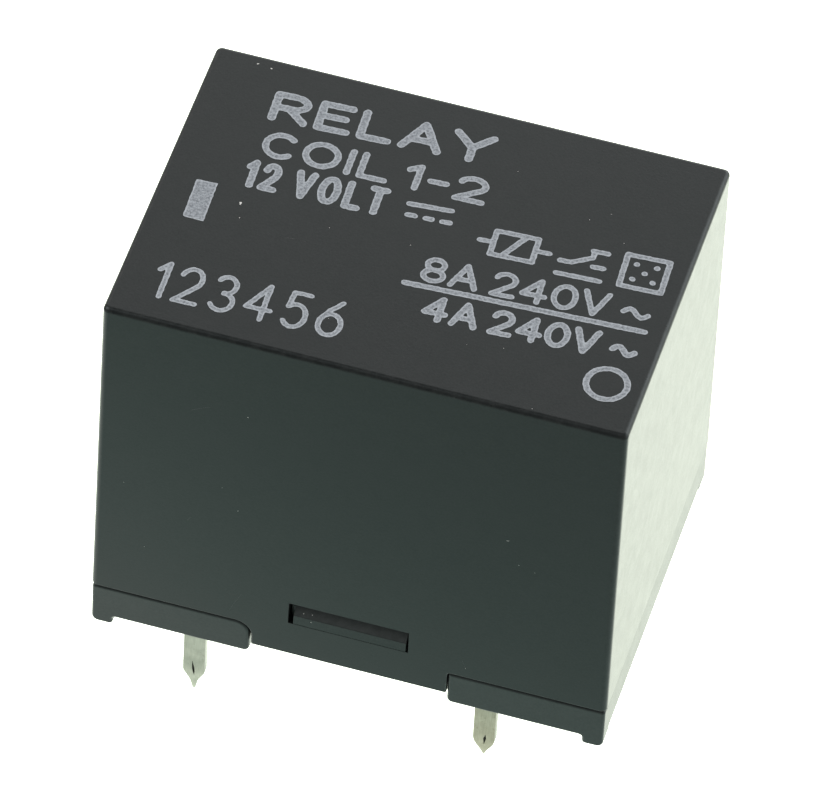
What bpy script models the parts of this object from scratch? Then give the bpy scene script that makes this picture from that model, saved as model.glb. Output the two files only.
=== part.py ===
"""Power relay for a printed circuit board: one changeover contact, one DC coil, five pins.

All dimensions are in millimetres here and are turned into metres when a mesh is made. The origin is the centre of the
footprint on the seating plane, which is the plane of the four corner feet; the pins reach below it. X runs along the long
side, from the common pin towards the contact pins, Y across, Z up. The armature is drawn at rest, coil off.
"""

import math

import bmesh
import bpy
from mathutils import Matrix, Vector

for old in list(bpy.data.objects):
    bpy.data.objects.remove(old, do_unlink=True)

MM = 0.001

# --- driving dimensions ------------------------------------------------------------------------------------------------
CASE_L, CASE_W, CASE_TOP = 22.2, 16.0, 18.90
CASE_DRAFT_X, CASE_DRAFT_Y = 0.09, 0.14
CASE_EDGE_Z = 2.26
CASE_CORNER_R, CASE_TOP_R = 0.28, 0.15
CAVITY_X, CAVITY_Y, CAVITY_TOP = 10.35, 7.30, 17.95
TONGUE_X0, TONGUE_X1, TONGUE_Z = -4.12, 4.27, 1.02
TONGUE_ROOT_R0, TONGUE_ROOT_R1 = 0.72, 0.18
WINDOW_X, WINDOW_Z0, WINDOW_Z1 = 2.58, 2.92, 4.12

BASE_X, BASE_Y = 11.06, 7.96
BASE_RIM_Z, BASE_UNDER_Z = 2.14, 0.45
BLOCK_X0, BLOCK_X1 = -4.22, 4.32
FOOT = 0.92
PLUG_X, PLUG_Y, PLUG_Z = 10.25, 7.15, 2.80
TAB_X0, TAB_X1, TAB_Z0, TAB_Z1, TAB_Y = -2.37, 2.47, 2.96, 3.35, 7.95
TAB_RAMP = 0.70

PIN_TIP_Z = -4.72
PIN_W, SHEET_T = 0.95, 0.42
COIL_PIN = (-6.99, 6.20)
CONTACT_PIN = (5.56, 5.80)
COMMON_PIN_X = -8.95

COIL_X = -1.50
YOKE_X0, YOKE_X1, YOKE_Z0, YOKE_Z1, YOKE_TOP, YOKE_Y = -8.55, -7.40, 2.86, 3.95, 13.55, 5.10
PIVOT = (-8.35, 13.57)
OPEN_DEG = 2.5
ARMATURE_T, LEAF_T = 1.20, 0.16
CONTACT_X = 7.40
RIVET_Z, RIVET_Y = 9.60, 1.40
SLACK = 0.02


# --- outlines ----------------------------------------------------------------------------------------------------------
def rounded(corners, n=4):
    """Outline through (u, v, r) corners, each turned by an arc of radius r in n steps."""
    out = []
    for i, (u, v, r) in enumerate(corners):
        p = Vector((u, v))
        if r <= 0:
            out.append((u, v))
            continue
        da = (Vector(corners[i - 1][:2]) - p).normalized()
        db = (Vector(corners[(i + 1) % len(corners)][:2]) - p).normalized()
        half = da.angle(db) / 2
        centre = p + (da + db).normalized() * (r / math.sin(half))
        start, end = p + da * (r / math.tan(half)) - centre, p + db * (r / math.tan(half)) - centre
        a0 = math.atan2(start.y, start.x)
        turn = (math.atan2(end.y, end.x) - a0 + math.pi) % (2 * math.pi) - math.pi
        for k in range(n + 1):
            a = a0 + turn * k / n
            out.append((centre.x + r * math.cos(a), centre.y + r * math.sin(a)))
    return out


def rectangle(x0, x1, y0, y1, r=0.0, n=4):
    return rounded([(x0, y0, r), (x1, y0, r), (x1, y1, r), (x0, y1, r)], n)


# --- solids ------------------------------------------------------------------------------------------------------------
PLACE = {
    "x": lambda u, v, t: (t, u, v),
    "y": lambda u, v, t: (u, t, v),
    "z": lambda u, v, t: (u, v, t),
}


def loft(bm, rings):
    """Closed solid through rings of points, each with the same number of points, capped at both ends."""
    loops = [[bm.verts.new(p) for p in ring] for ring in rings]
    for low, high in zip(loops, loops[1:]):
        for i in range(len(low)):
            j = (i + 1) % len(low)
            bm.faces.new((low[i], low[j], high[j], high[i]))
    bm.faces.new(list(reversed(loops[0])))
    bm.faces.new(loops[-1])
    return bm


def prism(outline, axis, a, b, bm=None):
    """Outline swept along an axis from a to b."""
    return loft(bm or bmesh.new(), [[PLACE[axis](u, v, t) for u, v in outline] for t in (a, b)])


def box(x0, x1, y0, y1, z0, z1, bm=None):
    return prism(rectangle(x0, x1, y0, y1), "z", z0, z1, bm)


def lathe(profile, n=32, axis="z", centre=(0.0, 0.0, 0.0)):
    """Solid of revolution. The profile is an open run of (radius, height) whose first and last points lie on the axis,
    or a closed ring of points clear of it."""
    bm = bmesh.new()
    closed = profile[0][0] > 1e-9
    rows = []
    for r, h in profile:
        if r < 1e-9:
            rows.append([bm.verts.new((0.0, 0.0, h))])
        else:
            rows.append([
                bm.verts.new((r * math.cos(2 * math.pi * k / n), r * math.sin(2 * math.pi * k / n), h)) for k in range(n)
            ])
    pairs = list(zip(rows, rows[1:])) + ([(rows[-1], rows[0])] if closed else [])
    for low, high in pairs:
        for k in range(n):
            m = (k + 1) % n
            if len(low) == 1:
                bm.faces.new((low[0], high[m], high[k]))
            elif len(high) == 1:
                bm.faces.new((low[k], low[m], high[0]))
            else:
                bm.faces.new((low[k], low[m], high[m], high[k]))
    if axis == "x":
        bmesh.ops.rotate(bm, verts=bm.verts, matrix=Matrix.Rotation(math.pi / 2, 3, "Y"))
    bmesh.ops.translate(bm, verts=bm.verts, vec=centre)
    return bm


def ribbon(stations, lateral):
    """Bent strip. Each station is (u, z, nu, nz, half thickness, a, b): a point of the strip's middle line, the sheet's
    normal there, and the strip's two edges along the lateral axis."""
    rings = []
    for u, z, nu, nz, h, a, b in stations:
        ring = []
        for t, side in ((a, -1), (b, -1), (b, 1), (a, 1)):
            uu, zz = u + side * h * nu, z + side * h * nz
            ring.append((t, uu, zz) if lateral == "x" else (uu, t, zz))
        rings.append(ring)
    return loft(bmesh.new(), rings)


# --- objects -----------------------------------------------------------------------------------------------------------
def material(name, colour, roughness, metallic=0.0):
    mat = bpy.data.materials.new(name)
    mat.use_nodes = True
    shader = mat.node_tree.nodes["Principled BSDF"]
    shader.inputs["Base Color"].default_value = (*colour, 1.0)
    shader.inputs["Roughness"].default_value = roughness
    shader.inputs["Metallic"].default_value = metallic
    mat.diffuse_color = (*colour, 1.0)
    return mat


def make(name, bm, mat=None, smooth=True, parent=None):
    bmesh.ops.recalc_face_normals(bm, faces=bm.faces)
    bmesh.ops.transform(bm, matrix=Matrix.Scale(MM, 4), verts=bm.verts)
    mesh = bpy.data.meshes.new(name)
    bm.to_mesh(mesh)
    bm.free()
    ob = bpy.data.objects.new(name, mesh)
    bpy.context.collection.objects.link(ob)
    if mat:
        mesh.materials.append(mat)
    if smooth:
        mesh.shade_smooth()
        mesh.set_sharp_from_angle(angle=math.radians(35))
    if parent:
        ob.parent = parent
    return ob


def operand(target, bm, operation):
    """Boolean of a construction solid on the target. The construction solid stays as a hidden wire guide."""
    k = len(target.modifiers)
    cutter = make(f"{target.name}_op{k}", bm, smooth=False, parent=target.parent)
    cutter.hide_render = True
    cutter.display_type = "WIRE"
    mod = target.modifiers.new(f"op{k}", "BOOLEAN")
    mod.operation = operation
    mod.solver = "EXACT"
    mod.object = cutter


def cut(target, bm):
    operand(target, bm, "DIFFERENCE")


def add(target, bm):
    operand(target, bm, "UNION")


def keep(target, bm):
    operand(target, bm, "INTERSECT")


def cylinder(r, a, b, axis, centre, n=24):
    return lathe([(0, a), (r, a), (r, b), (0, b)], n, axis, centre)


case_black = material("case_black", (0.043, 0.046, 0.045), 0.42)
base_black = material("base_black", (0.045, 0.050, 0.048), 0.50)
bobbin_plastic = material("bobbin_plastic", (0.62, 0.60, 0.54), 0.45)
enamelled_copper = material("enamelled_copper", (0.48, 0.17, 0.07), 0.32, 0.6)
relay_iron = material("relay_iron", (0.52, 0.52, 0.50), 0.34, 1.0)
core_iron = material("core_iron", (0.56, 0.55, 0.52), 0.30, 1.0)
spring_copper = material("spring_copper", (0.72, 0.47, 0.30), 0.28, 1.0)
tinned_copper = material("tinned_copper", (0.66, 0.67, 0.62), 0.36, 1.0)
contact_silver = material("contact_silver", (0.80, 0.79, 0.76), 0.30, 1.0)
rivet_copper = material("rivet_copper", (0.70, 0.44, 0.29), 0.34, 1.0)
seal_resin = material("seal_resin", (0.05, 0.045, 0.04), 0.18)

# --- case --------------------------------------------------------------------------------------------------------------
hx, hy = CASE_L / 2, CASE_W / 2
low_z = 0.6
top_edge = CASE_TOP - CASE_TOP_R


def case_ring(z, inset=0.0):
    """Rounded rectangle of the case at height z, drawn in by the mould's draft."""
    k = (min(z, top_edge) - CASE_EDGE_Z) / (top_edge - CASE_EDGE_Z)
    x, y = hx - CASE_DRAFT_X * k - inset, hy - CASE_DRAFT_Y * k - inset
    return [(u, v, z) for u, v in rectangle(-x, x, -y, y, CASE_CORNER_R - inset * 0.9)]


steps = 4
rings = [case_ring(low_z), case_ring(top_edge)]
for i in range(1, steps + 1):
    a = math.pi / 2 * i / steps
    rings.append(case_ring(top_edge + CASE_TOP_R * math.sin(a), CASE_TOP_R * (1 - math.cos(a))))
case = make("case", loft(bmesh.new(), rings), case_black)
cavity = [
    [(u, v, z) for u, v in rectangle(-CAVITY_X + d, CAVITY_X - d, -CAVITY_Y + d, CAVITY_Y - d, 0.45 - d)]
    for z, d in ((0.0, 0.0), (CAVITY_TOP - 0.3, 0.0), (CAVITY_TOP - 0.09, 0.09), (CAVITY_TOP, 0.3))
]
cut(case, loft(bmesh.new(), cavity))
cut(case, prism(rounded([
    (-20, -2, 0), (20, -2, 0), (20, CASE_EDGE_Z, 0),
    (TONGUE_X1, CASE_EDGE_Z, TONGUE_ROOT_R1), (TONGUE_X1, TONGUE_Z, 0.15),
    (TONGUE_X0, TONGUE_Z, 0.15), (TONGUE_X0, CASE_EDGE_Z, TONGUE_ROOT_R0),
    (-20, CASE_EDGE_Z, 0),
], 5), "y", -12, 12))
cut(case, prism(rectangle(-WINDOW_X, WINDOW_X, WINDOW_Z0, WINDOW_Z1, 0.05, 2), "y", -12, 12))

# --- base --------------------------------------------------------------------------------------------------------------
blocks = prism(rounded([
    (-BASE_X, BASE_RIM_Z, 0.05), (-BASE_X, 0, 0.30), (-BASE_X + FOOT, 0, 0.13), (-BASE_X + FOOT, BASE_UNDER_Z, 0.10),
    (BLOCK_X0, BASE_UNDER_Z, 0.24), (BLOCK_X0, BASE_RIM_Z, 0.65),
], 4), "y", -BASE_Y, BASE_Y)
prism(rounded([
    (BASE_X, BASE_RIM_Z, 0.05), (BLOCK_X1, BASE_RIM_Z, 0.12), (BLOCK_X1, BASE_UNDER_Z, 0.24),
    (BASE_X - FOOT, BASE_UNDER_Z, 0.10), (BASE_X - FOOT, 0, 0.13), (BASE_X, 0, 0.30),
], 4), "y", -BASE_Y, BASE_Y, blocks)
base = make("base", blocks, base_black)
keep(base, prism(rectangle(-BASE_X, BASE_X, -BASE_Y, BASE_Y, 0.33), "z", -1, 4))
for sx in (-1, 1):
    x0, x1 = sorted((sx * 9.6, sx * 12.0))
    cut(base, box(x0, x1, -(BASE_Y - FOOT), BASE_Y - FOOT, -1, BASE_UNDER_Z))
add(base, prism(rectangle(-PLUG_X, PLUG_X, -PLUG_Y, PLUG_Y, 0.4), "z", BASE_UNDER_Z + 0.05, PLUG_Z))
for sy in (-1, 1):
    y0, y1 = sorted((sy * 6.35, sy * PLUG_Y))
    add(base, box(-3.1, 3.1, y0, y1, PLUG_Z - 0.4, 4.35))
    # latch tab: a short upright nose, then a ramp up to the post, over which the cover slides
    tab = [(6.9, TAB_Z0), (TAB_Y, TAB_Z0), (TAB_Y, TAB_Z1), (TAB_Y - TAB_RAMP, TAB_Z1 + TAB_RAMP), (6.9, TAB_Z1 + TAB_RAMP)]
    add(base, prism([(sy * v, z) for v, z in tab], "x", TAB_X0, TAB_X1))

play = 0.04
pockets = []
for sy in (-1, 1):
    pockets.append((COIL_PIN[0], sy * COIL_PIN[1], PIN_W / 2, SHEET_T / 2))
    pockets.append((CONTACT_PIN[0], sy * CONTACT_PIN[1], PIN_W / 2, SHEET_T / 2))
pockets.append((COMMON_PIN_X, 0.0, SHEET_T / 2, PIN_W / 2))
for x, y, a, b in pockets:
    cut(base, box(x - a - play, x + a + play, y - b - play, y + b + play, -1, 4.5))
    cut(base, prism(rectangle(x - a - 0.42, x + a + 0.42, y - b - 0.42, y + b + 0.42, 0.3, 3), "z", -1, 0.95))
for sy in (-1, 1):
    y = sy * CONTACT_PIN[1]
    x0 = CONTACT_PIN[0] - PIN_W / 2
    cut(base, box(x0 - play, 8.84, y - SHEET_T / 2 - play, y + SHEET_T / 2 + play, 1.5, 4.5))
cut(base, box(COMMON_PIN_X - SHEET_T / 2 - play, COMMON_PIN_X + SHEET_T / 2 + play, -1.56, 1.56, 1.4, 4.5))

# --- resin seal round each pin -----------------------------------------------------------------------------------------
seal_names = ("coil_front", "no", "coil_back", "nc", "common")
for name, (x, y, a, b) in zip(seal_names, pockets):
    m = 0.42 - 0.03
    seal = make(f"pin_seal_{name}", prism(rectangle(x - a - m, x + a + m, y - b - m, y + b + m, 0.27, 3), "z", 0.52, 0.92),
                seal_resin)
    cut(seal, box(x - a - 0.03, x + a + 0.03, y - b - 0.03, y + b + 0.03, 0, 2))

# --- yoke, core, bobbin, winding ---------------------------------------------------------------------------------------
yoke = make("yoke", prism(rounded([
    (YOKE_X0, YOKE_Z0, 1.1), (3.3, YOKE_Z0, 0.1), (3.3, YOKE_Z1, 0.1), (YOKE_X1, YOKE_Z1, 0.25),
    (YOKE_X1, YOKE_TOP, 0.06), (YOKE_X0, YOKE_TOP, 0.06),
], 4), "y", -YOKE_Y, YOKE_Y), relay_iron)
cut(yoke, cylinder(2.02, 1, 5, "z", (COIL_X, 0, 0), 40))
for sy in (-1, 1):
    cut(yoke, cylinder(0.52, -10, -6, "x", (0, sy * RIVET_Y, RIVET_Z)))
    # the horizontal leg is narrower beyond the coil's middle
    y0, y1 = sorted((sy * 4.1, sy * 6.0))
    cut(yoke, prism(rounded([(-0.2, y0, 0), (4.5, y0, 0), (4.5, y1, 0), (-0.2, y1, 0)]), "z", 2, 5))

core = make("core", lathe([
    (0, 2.90), (1.9, 2.90), (2.0, 3.00), (2.0, YOKE_Z1 + SLACK), (2.5, YOKE_Z1 + SLACK), (2.5, 12.60),
    (3.50, 12.60), (3.60, 12.70), (3.60, YOKE_TOP - 0.12), (3.48, YOKE_TOP), (0, YOKE_TOP),
], 40, centre=(COIL_X, 0, 0)), core_iron)

FLANGE_X0, FLANGE_X1, FLANGE_Y = -7.30, 4.30, 5.90
bobbin = make("bobbin", prism(rectangle(FLANGE_X0, FLANGE_X1, -FLANGE_Y, FLANGE_Y, 0.5), "z", 4.00, 4.80), bobbin_plastic)
for sy in (-1, 1):
    y0, y1 = sorted((sy * 5.25, sy * 7.0))
    add(bobbin, prism(rectangle(-8.05, -5.55, y0, y1, 0.2, 3), "z", YOKE_Z0, 4.70))
add(bobbin, cylinder(3.05, 4.3, 12.2, "z", (COIL_X, 0, 0), 40))
add(bobbin, prism(rectangle(FLANGE_X0 + 0.1, FLANGE_X1, -FLANGE_Y, FLANGE_Y, 0.5), "z", 11.80, 12.56))
cut(bobbin, cylinder(2.54, 2, 14, "z", (COIL_X, 0, 0), 40))
for sy in (-1, 1):
    x, y = COIL_PIN[0], sy * COIL_PIN[1]
    cut(bobbin, box(x - PIN_W / 2 - play, x + PIN_W / 2 + play, y - SHEET_T / 2 - play, y + SHEET_T / 2 + play, 1, 6))

WIND_R, WIND_Z0, WIND_Z1 = 5.35, 4.85, 11.75
winding = make("coil_winding", lathe([
    (3.10, WIND_Z0), (WIND_R - 0.12, WIND_Z0), (WIND_R, WIND_Z0 + 0.12), (WIND_R, WIND_Z1 - 0.12),
    (WIND_R - 0.12, WIND_Z1), (3.10, WIND_Z1),
], 48, centre=(COIL_X, 0, 0)), enamelled_copper)


# --- pins and terminals ------------------------------------------------------------------------------------------------
def blade(mid, waist):
    """Pointed end of a pin, from its tip up: (height, half width, half thickness). A waisted point draws in and then
    runs to a fine tip, a plain one tapers straight."""
    w, t = PIN_W / 2, SHEET_T / 2
    z = PIN_TIP_Z
    if waist:
        rows = [(z, 0.05, 0.05), (z + 0.16, 0.09, 0.08), (z + 0.53, 0.155, 0.13), (z + 0.80, 0.26, 0.17), (z + 1.10, 0.415, 0.20),
                (z + 1.26, w, t)]
    else:
        rows = [(z, 0.05, 0.05), (z + 0.22, 0.12, 0.09), (z + 0.61, 0.315, 0.16), (z + 0.80, 0.41, 0.19), (z + 1.10, w, t)]
    return [(mid, h, 1, 0, tt, ww) for h, ww, tt in rows]


# coil posts: straight blades with a narrower wrap post above the bobbin's lug
for name, sy in (("coil_terminal_front", -1), ("coil_terminal_back", 1)):
    x, y = COIL_PIN[0], sy * COIL_PIN[1]
    rows = [(u, z, nu, nz, t, x - w, x + w) for u, z, nu, nz, t, w in blade(y, True)]
    rows += [(y, z, 1, 0, t, x - w, x + w) for z, w, t in (
        (4.85, PIN_W / 2, SHEET_T / 2), (5.05, 0.25, SHEET_T / 2), (6.70, 0.25, SHEET_T / 2), (6.90, 0.15, 0.12))]
    make(name, ribbon(rows, "x"), tinned_copper, smooth=False)


# contact terminals: pin, wide plate in the base's slot, and an arm folded in over the middle
def contact_terminal(name, sy, arm_z, tip_y, gap_x):
    x0, x1 = CONTACT_PIN[0] - PIN_W / 2, 8.80
    y, t, r = sy * CONTACT_PIN[1], SHEET_T / 2, 0.55
    rows = [(u, z, nu, nz, tt, CONTACT_PIN[0] - w, CONTACT_PIN[0] + w) for u, z, nu, nz, tt, w in blade(y, False)]
    rows += [(y, z, 1, 0, t, a, b) for z, a, b in (
        (1.55, x0, x0 + PIN_W), (1.90, x0, x1), (arm_z - 3.2, x0, x1), (arm_z - 2.6, gap_x, x1))]
    # the fold: a quarter turn towards the middle
    for k in range(6):
        a = math.pi / 2 * k / 5
        rows.append((y - sy * r * (1 - math.cos(a)), arm_z - r + r * math.sin(a), math.cos(a), sy * math.sin(a), t,
                     gap_x, x1 + 0.0))
    end = -sy * tip_y
    rows += [(end + sy * 0.9, arm_z, 0, sy, t, gap_x, x1), (end + sy * 0.35, arm_z, 0, sy, t, gap_x + 0.25, x1 - 0.25),
             (end, arm_z, 0, sy, t, gap_x + 0.8, x1 - 0.8)]
    terminal = make(name, ribbon(rows, "x"), tinned_copper, smooth=False)
    cut(terminal, cylinder(0.62, arm_z - 1, arm_z + 1, "z", (CONTACT_X, 0, 0)))
    return terminal


NO_FACE = PIVOT[1] + 0.80 - 0.03
HEAD_T = 0.40
no_arm = NO_FACE - HEAD_T - SLACK - SHEET_T / 2
contact_terminal("terminal_no", -1, no_arm, 1.5, 6.0)
NC_FACE = 16.125
nc_arm = NC_FACE + HEAD_T + SLACK + SHEET_T / 2
contact_terminal("terminal_nc", 1, nc_arm, 1.5, 6.0)

# common terminal: pin, shoulder in the base's slot, plate behind the yoke
rows = [(u, z, nu, nz, t, -w, w) for u, z, nu, nz, t, w in blade(COMMON_PIN_X, False)]
rows += [(COMMON_PIN_X, z, 1, 0, 0.20, -w, w) for z, w in (
    (1.45, PIN_W / 2), (1.80, 1.5), (2.90, 1.5), (3.40, 2.3), (10.9, 2.3), (11.3, 1.9))]
common = make("terminal_common", ribbon(rows, "y"), tinned_copper, smooth=False)
for sy in (-1, 1):
    cut(common, cylinder(0.52, -12, -6, "x", (0, sy * RIVET_Y, RIVET_Z)))

# --- fixed contacts ----------------------------------------------------------------------------------------------------
contact_no = make("contact_no", lathe([
    (0, no_arm - SHEET_T / 2 - 0.22), (0.80, no_arm - SHEET_T / 2 - 0.22), (0.90, no_arm - SHEET_T / 2 - 0.12),
    (0.90, no_arm - SHEET_T / 2 - SLACK), (0.60, no_arm - SHEET_T / 2 - SLACK), (0.60, NO_FACE - HEAD_T),
    (1.20, NO_FACE - HEAD_T), (1.20, NO_FACE - 0.12), (1.02, NO_FACE), (0, NO_FACE),
], 24, centre=(CONTACT_X, 0, 0)), contact_silver)
contact_nc = make("contact_nc", lathe([
    (0, NC_FACE), (1.02, NC_FACE), (1.20, NC_FACE + 0.12), (1.20, NC_FACE + HEAD_T), (0.60, NC_FACE + HEAD_T),
    (0.60, nc_arm + SHEET_T / 2 + SLACK), (0.90, nc_arm + SHEET_T / 2 + SLACK), (0.90, nc_arm + SHEET_T / 2 + 0.12),
    (0.80, nc_arm + SHEET_T / 2 + 0.22), (0, nc_arm + SHEET_T / 2 + 0.22),
], 24, centre=(CONTACT_X, 0, 0)), contact_silver)

# --- armature group: drawn pulled in, about the yoke's top edge, then tipped open to its rest ---------------------------
pivot = bpy.data.objects.new("armature_axis", None)
bpy.context.collection.objects.link(pivot)
pivot.empty_display_size = 0.002
pivot.location = (PIVOT[0] * MM, 0, PIVOT[1] * MM)
pivot.rotation_euler = (0, -math.radians(OPEN_DEG), 0)

armature = make("armature", prism(rounded([
    (0, -4.9, 0.2), (5.2, -4.9, 0.8), (10.5, -3.4, 1.2), (10.5, 3.4, 1.2), (5.2, 4.9, 0.8), (0, 4.9, 0.2),
    (0, 2.6, 0.12), (1.35, 2.6, 0.2), (1.35, -2.6, 0.2), (0, -2.6, 0.12),
], 4), "z", 0, ARMATURE_T), relay_iron, parent=pivot)
ARM_RIVET = (4.35, 1.30)
for sy in (-1, 1):
    cut(armature, cylinder(0.52, -1, 3, "z", (ARM_RIVET[0], sy * ARM_RIVET[1], 0)))
leaf_low = ARMATURE_T + SLACK
leaf_top = leaf_low + LEAF_T
for name, sy in (("armature_rivet_front", -1), ("armature_rivet_back", 1)):
    make(name, lathe([
        (0, 0.03), (0.42, 0.03), (0.50, 0.10), (0.50, leaf_top + SLACK), (0.95, leaf_top + SLACK),
        (0.95, leaf_top + 0.12), (0.72, leaf_top + 0.34), (0.35, leaf_top + 0.42), (0, leaf_top + 0.44),
    ], 24, centre=(ARM_RIVET[0], sy * ARM_RIVET[1], 0)), rivet_copper, parent=pivot)

reach = (CONTACT_X - PIVOT[0]) / math.cos(math.radians(OPEN_DEG))
low_face, high_face = 0.80, 1.80
make("moving_contact", lathe([
    (0, low_face), (1.02, low_face), (1.20, low_face + 0.12), (1.20, leaf_low - SLACK), (0.60, leaf_low - SLACK),
    (0.60, leaf_top + SLACK), (1.20, leaf_top + SLACK), (1.20, high_face - 0.12), (1.02, high_face), (0, high_face),
], 24, centre=(reach, 0, 0)), contact_silver, parent=pivot)

# --- contact leaf: up the yoke's back, over its top edge, along the armature and out to the contact ---------------------
theta = math.radians(OPEN_DEG)
along, across = Vector((math.cos(theta), math.sin(theta))), Vector((-math.sin(theta), math.cos(theta)))
P = Vector(PIVOT)
h = leaf_low + LEAF_T / 2
back_x = YOKE_X0 - SLACK - LEAF_T / 2
bend_r = 0.95
s_corner = (back_x - P.x - h * across.x) / along.x
corner = P + across * h + along * s_corner
half_angle = (math.pi / 2 + theta) / 2
reach_in = bend_r / math.tan(half_angle)
s_bend = s_corner + reach_in
z_bend = corner.y - reach_in
centre = Vector((back_x + bend_r, z_bend))


def leaf_at(s, w):
    q = P + across * h + along * s
    return (q.x, q.y, across.x, across.y, LEAF_T / 2, -w, w)


rows = [(back_x, 7.90, -1, 0, LEAF_T / 2, -1.9, 1.9), (back_x, 8.30, -1, 0, LEAF_T / 2, -2.3, 2.3),
        (back_x, z_bend - 0.6, -1, 0, LEAF_T / 2, -2.3, 2.3)]
for k in range(9):
    a = math.pi - (math.pi / 2 - theta) * k / 8
    rows.append((centre.x + bend_r * math.cos(a), centre.y + bend_r * math.sin(a), math.cos(a), math.sin(a), LEAF_T / 2,
                 -2.3, 2.3))
rows += [leaf_at(s, w) for s, w in ((7.2, 2.3), (9.4, 1.5), (reach - 0.2, 1.5))]
for k in range(1, 6):
    a = math.radians(80) * k / 5
    rows.append(leaf_at(reach - 0.2 + 1.5 * math.sin(a), 1.5 * math.cos(a)))
leaf = make("moving_spring", ribbon(rows, "y"), spring_copper, smooth=False)
for sy in (-1, 1):
    cut(leaf, cylinder(0.52, -12, -6, "x", (0, sy * RIVET_Y, RIVET_Z)))
tip = Matrix.Rotation(-theta, 4, "Y")
for s, y, r in ((ARM_RIVET[0], ARM_RIVET[1], 0.52), (ARM_RIVET[0], -ARM_RIVET[1], 0.52), (reach, 0.0, 0.62)):
    hole = cylinder(r, 0.5, 2.5, "z", (s, y, 0))
    bmesh.ops.transform(hole, matrix=Matrix.Translation((P.x, 0, P.y)) @ tip, verts=hole.verts)
    cut(leaf, hole)
# the leaf's own origin lies on the hinge
leaf.data.transform(Matrix.Translation((-P.x * MM, 0, -P.y * MM)))
leaf.location = (P.x * MM, 0, P.y * MM)

for name, sy in (("spring_rivet_front", -1), ("spring_rivet_back", 1)):
    head = COMMON_PIN_X - 0.20 - SLACK
    make(name, lathe([
        (0, head - 0.40), (0.35, head - 0.38), (0.70, head - 0.30), (0.92, head - 0.10), (0.92, head), (0.50, head),
        (0.50, YOKE_X1 - 0.10), (0.42, YOKE_X1 - 0.03), (0, YOKE_X1 - 0.03),
    ], 24, "x", (0, sy * RIVET_Y, RIVET_Z)), rivet_copper)


# --- the winding's two ends: off the coil, across to the post, three turns round it --------------------------------------
def lead(name, sy):
    wire = 0.07
    post = Vector((COIL_PIN[0], sy * COIL_PIN[1]))
    turn_r = 0.335 + wire
    out = []
    r = WIND_R + 0.03 + wire
    # an arc on the coil's surface, towards the post's side
    a1 = math.atan2(sy * COIL_PIN[1], COIL_PIN[0] - COIL_X)
    for k in range(7):
        a = a1 - sy * math.radians(60) + sy * math.radians(52) * k / 6
        out.append(Vector((COIL_X + r * math.cos(a), r * math.sin(a), 5.25)))
    # across, rising a little, then round the post
    first = 1.5 * math.pi if sy > 0 else 0.5 * math.pi
    start = Vector((post.x + turn_r * math.cos(first + 0.4 * sy), post.y + turn_r * math.sin(first + 0.4 * sy), 5.42))
    last = out[-1]
    for k in range(1, 5):
        out.append(last.lerp(start, k / 5) + Vector((0, 0, 0.05 * math.sin(math.pi * k / 5))))
    n = 30
    for k in range(n + 1):
        a = first + 0.4 * sy + sy * 2 * math.pi * 2.75 * k / n
        out.append(Vector((post.x + turn_r * math.cos(a), post.y + turn_r * math.sin(a), 5.42 + 0.9 * k / n)))
    curve = bpy.data.curves.new(name, "CURVE")
    curve.dimensions = "3D"
    curve.bevel_depth = wire * MM
    curve.bevel_resolution = 1
    curve.use_fill_caps = True
    spline = curve.splines.new("POLY")
    spline.points.add(len(out) - 1)
    for p, q in zip(spline.points, out):
        p.co = (q.x * MM, q.y * MM, q.z * MM, 1)
    curve.materials.append(enamelled_copper)
    ob = bpy.data.objects.new(name, curve)
    bpy.context.collection.objects.link(ob)


lead("coil_lead_front", -1)
lead("coil_lead_back", 1)
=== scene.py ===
import math

import bmesh
import bpy
import numpy as np
from mathutils import Matrix, Vector


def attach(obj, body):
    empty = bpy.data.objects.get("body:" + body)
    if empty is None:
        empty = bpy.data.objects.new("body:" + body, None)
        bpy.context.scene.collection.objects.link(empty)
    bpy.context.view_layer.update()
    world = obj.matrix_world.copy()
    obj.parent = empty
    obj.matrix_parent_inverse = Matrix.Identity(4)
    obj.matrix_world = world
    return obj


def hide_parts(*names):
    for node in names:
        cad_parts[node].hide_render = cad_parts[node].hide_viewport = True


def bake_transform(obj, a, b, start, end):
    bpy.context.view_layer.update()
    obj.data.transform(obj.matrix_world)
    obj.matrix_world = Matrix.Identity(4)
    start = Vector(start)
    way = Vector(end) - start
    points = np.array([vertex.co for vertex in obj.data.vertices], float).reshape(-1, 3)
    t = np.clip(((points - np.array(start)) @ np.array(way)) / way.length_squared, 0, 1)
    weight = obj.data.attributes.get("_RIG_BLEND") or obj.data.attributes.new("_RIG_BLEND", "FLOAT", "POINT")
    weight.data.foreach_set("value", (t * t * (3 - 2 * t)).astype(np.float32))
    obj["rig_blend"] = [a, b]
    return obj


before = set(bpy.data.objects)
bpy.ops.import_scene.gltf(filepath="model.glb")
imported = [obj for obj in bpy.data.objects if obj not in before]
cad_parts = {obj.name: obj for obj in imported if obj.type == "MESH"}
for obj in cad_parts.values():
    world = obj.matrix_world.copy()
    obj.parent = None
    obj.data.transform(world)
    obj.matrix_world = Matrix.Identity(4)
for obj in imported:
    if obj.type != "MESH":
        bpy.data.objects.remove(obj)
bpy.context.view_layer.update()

MM = 0.001
scene = bpy.context.scene

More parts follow.
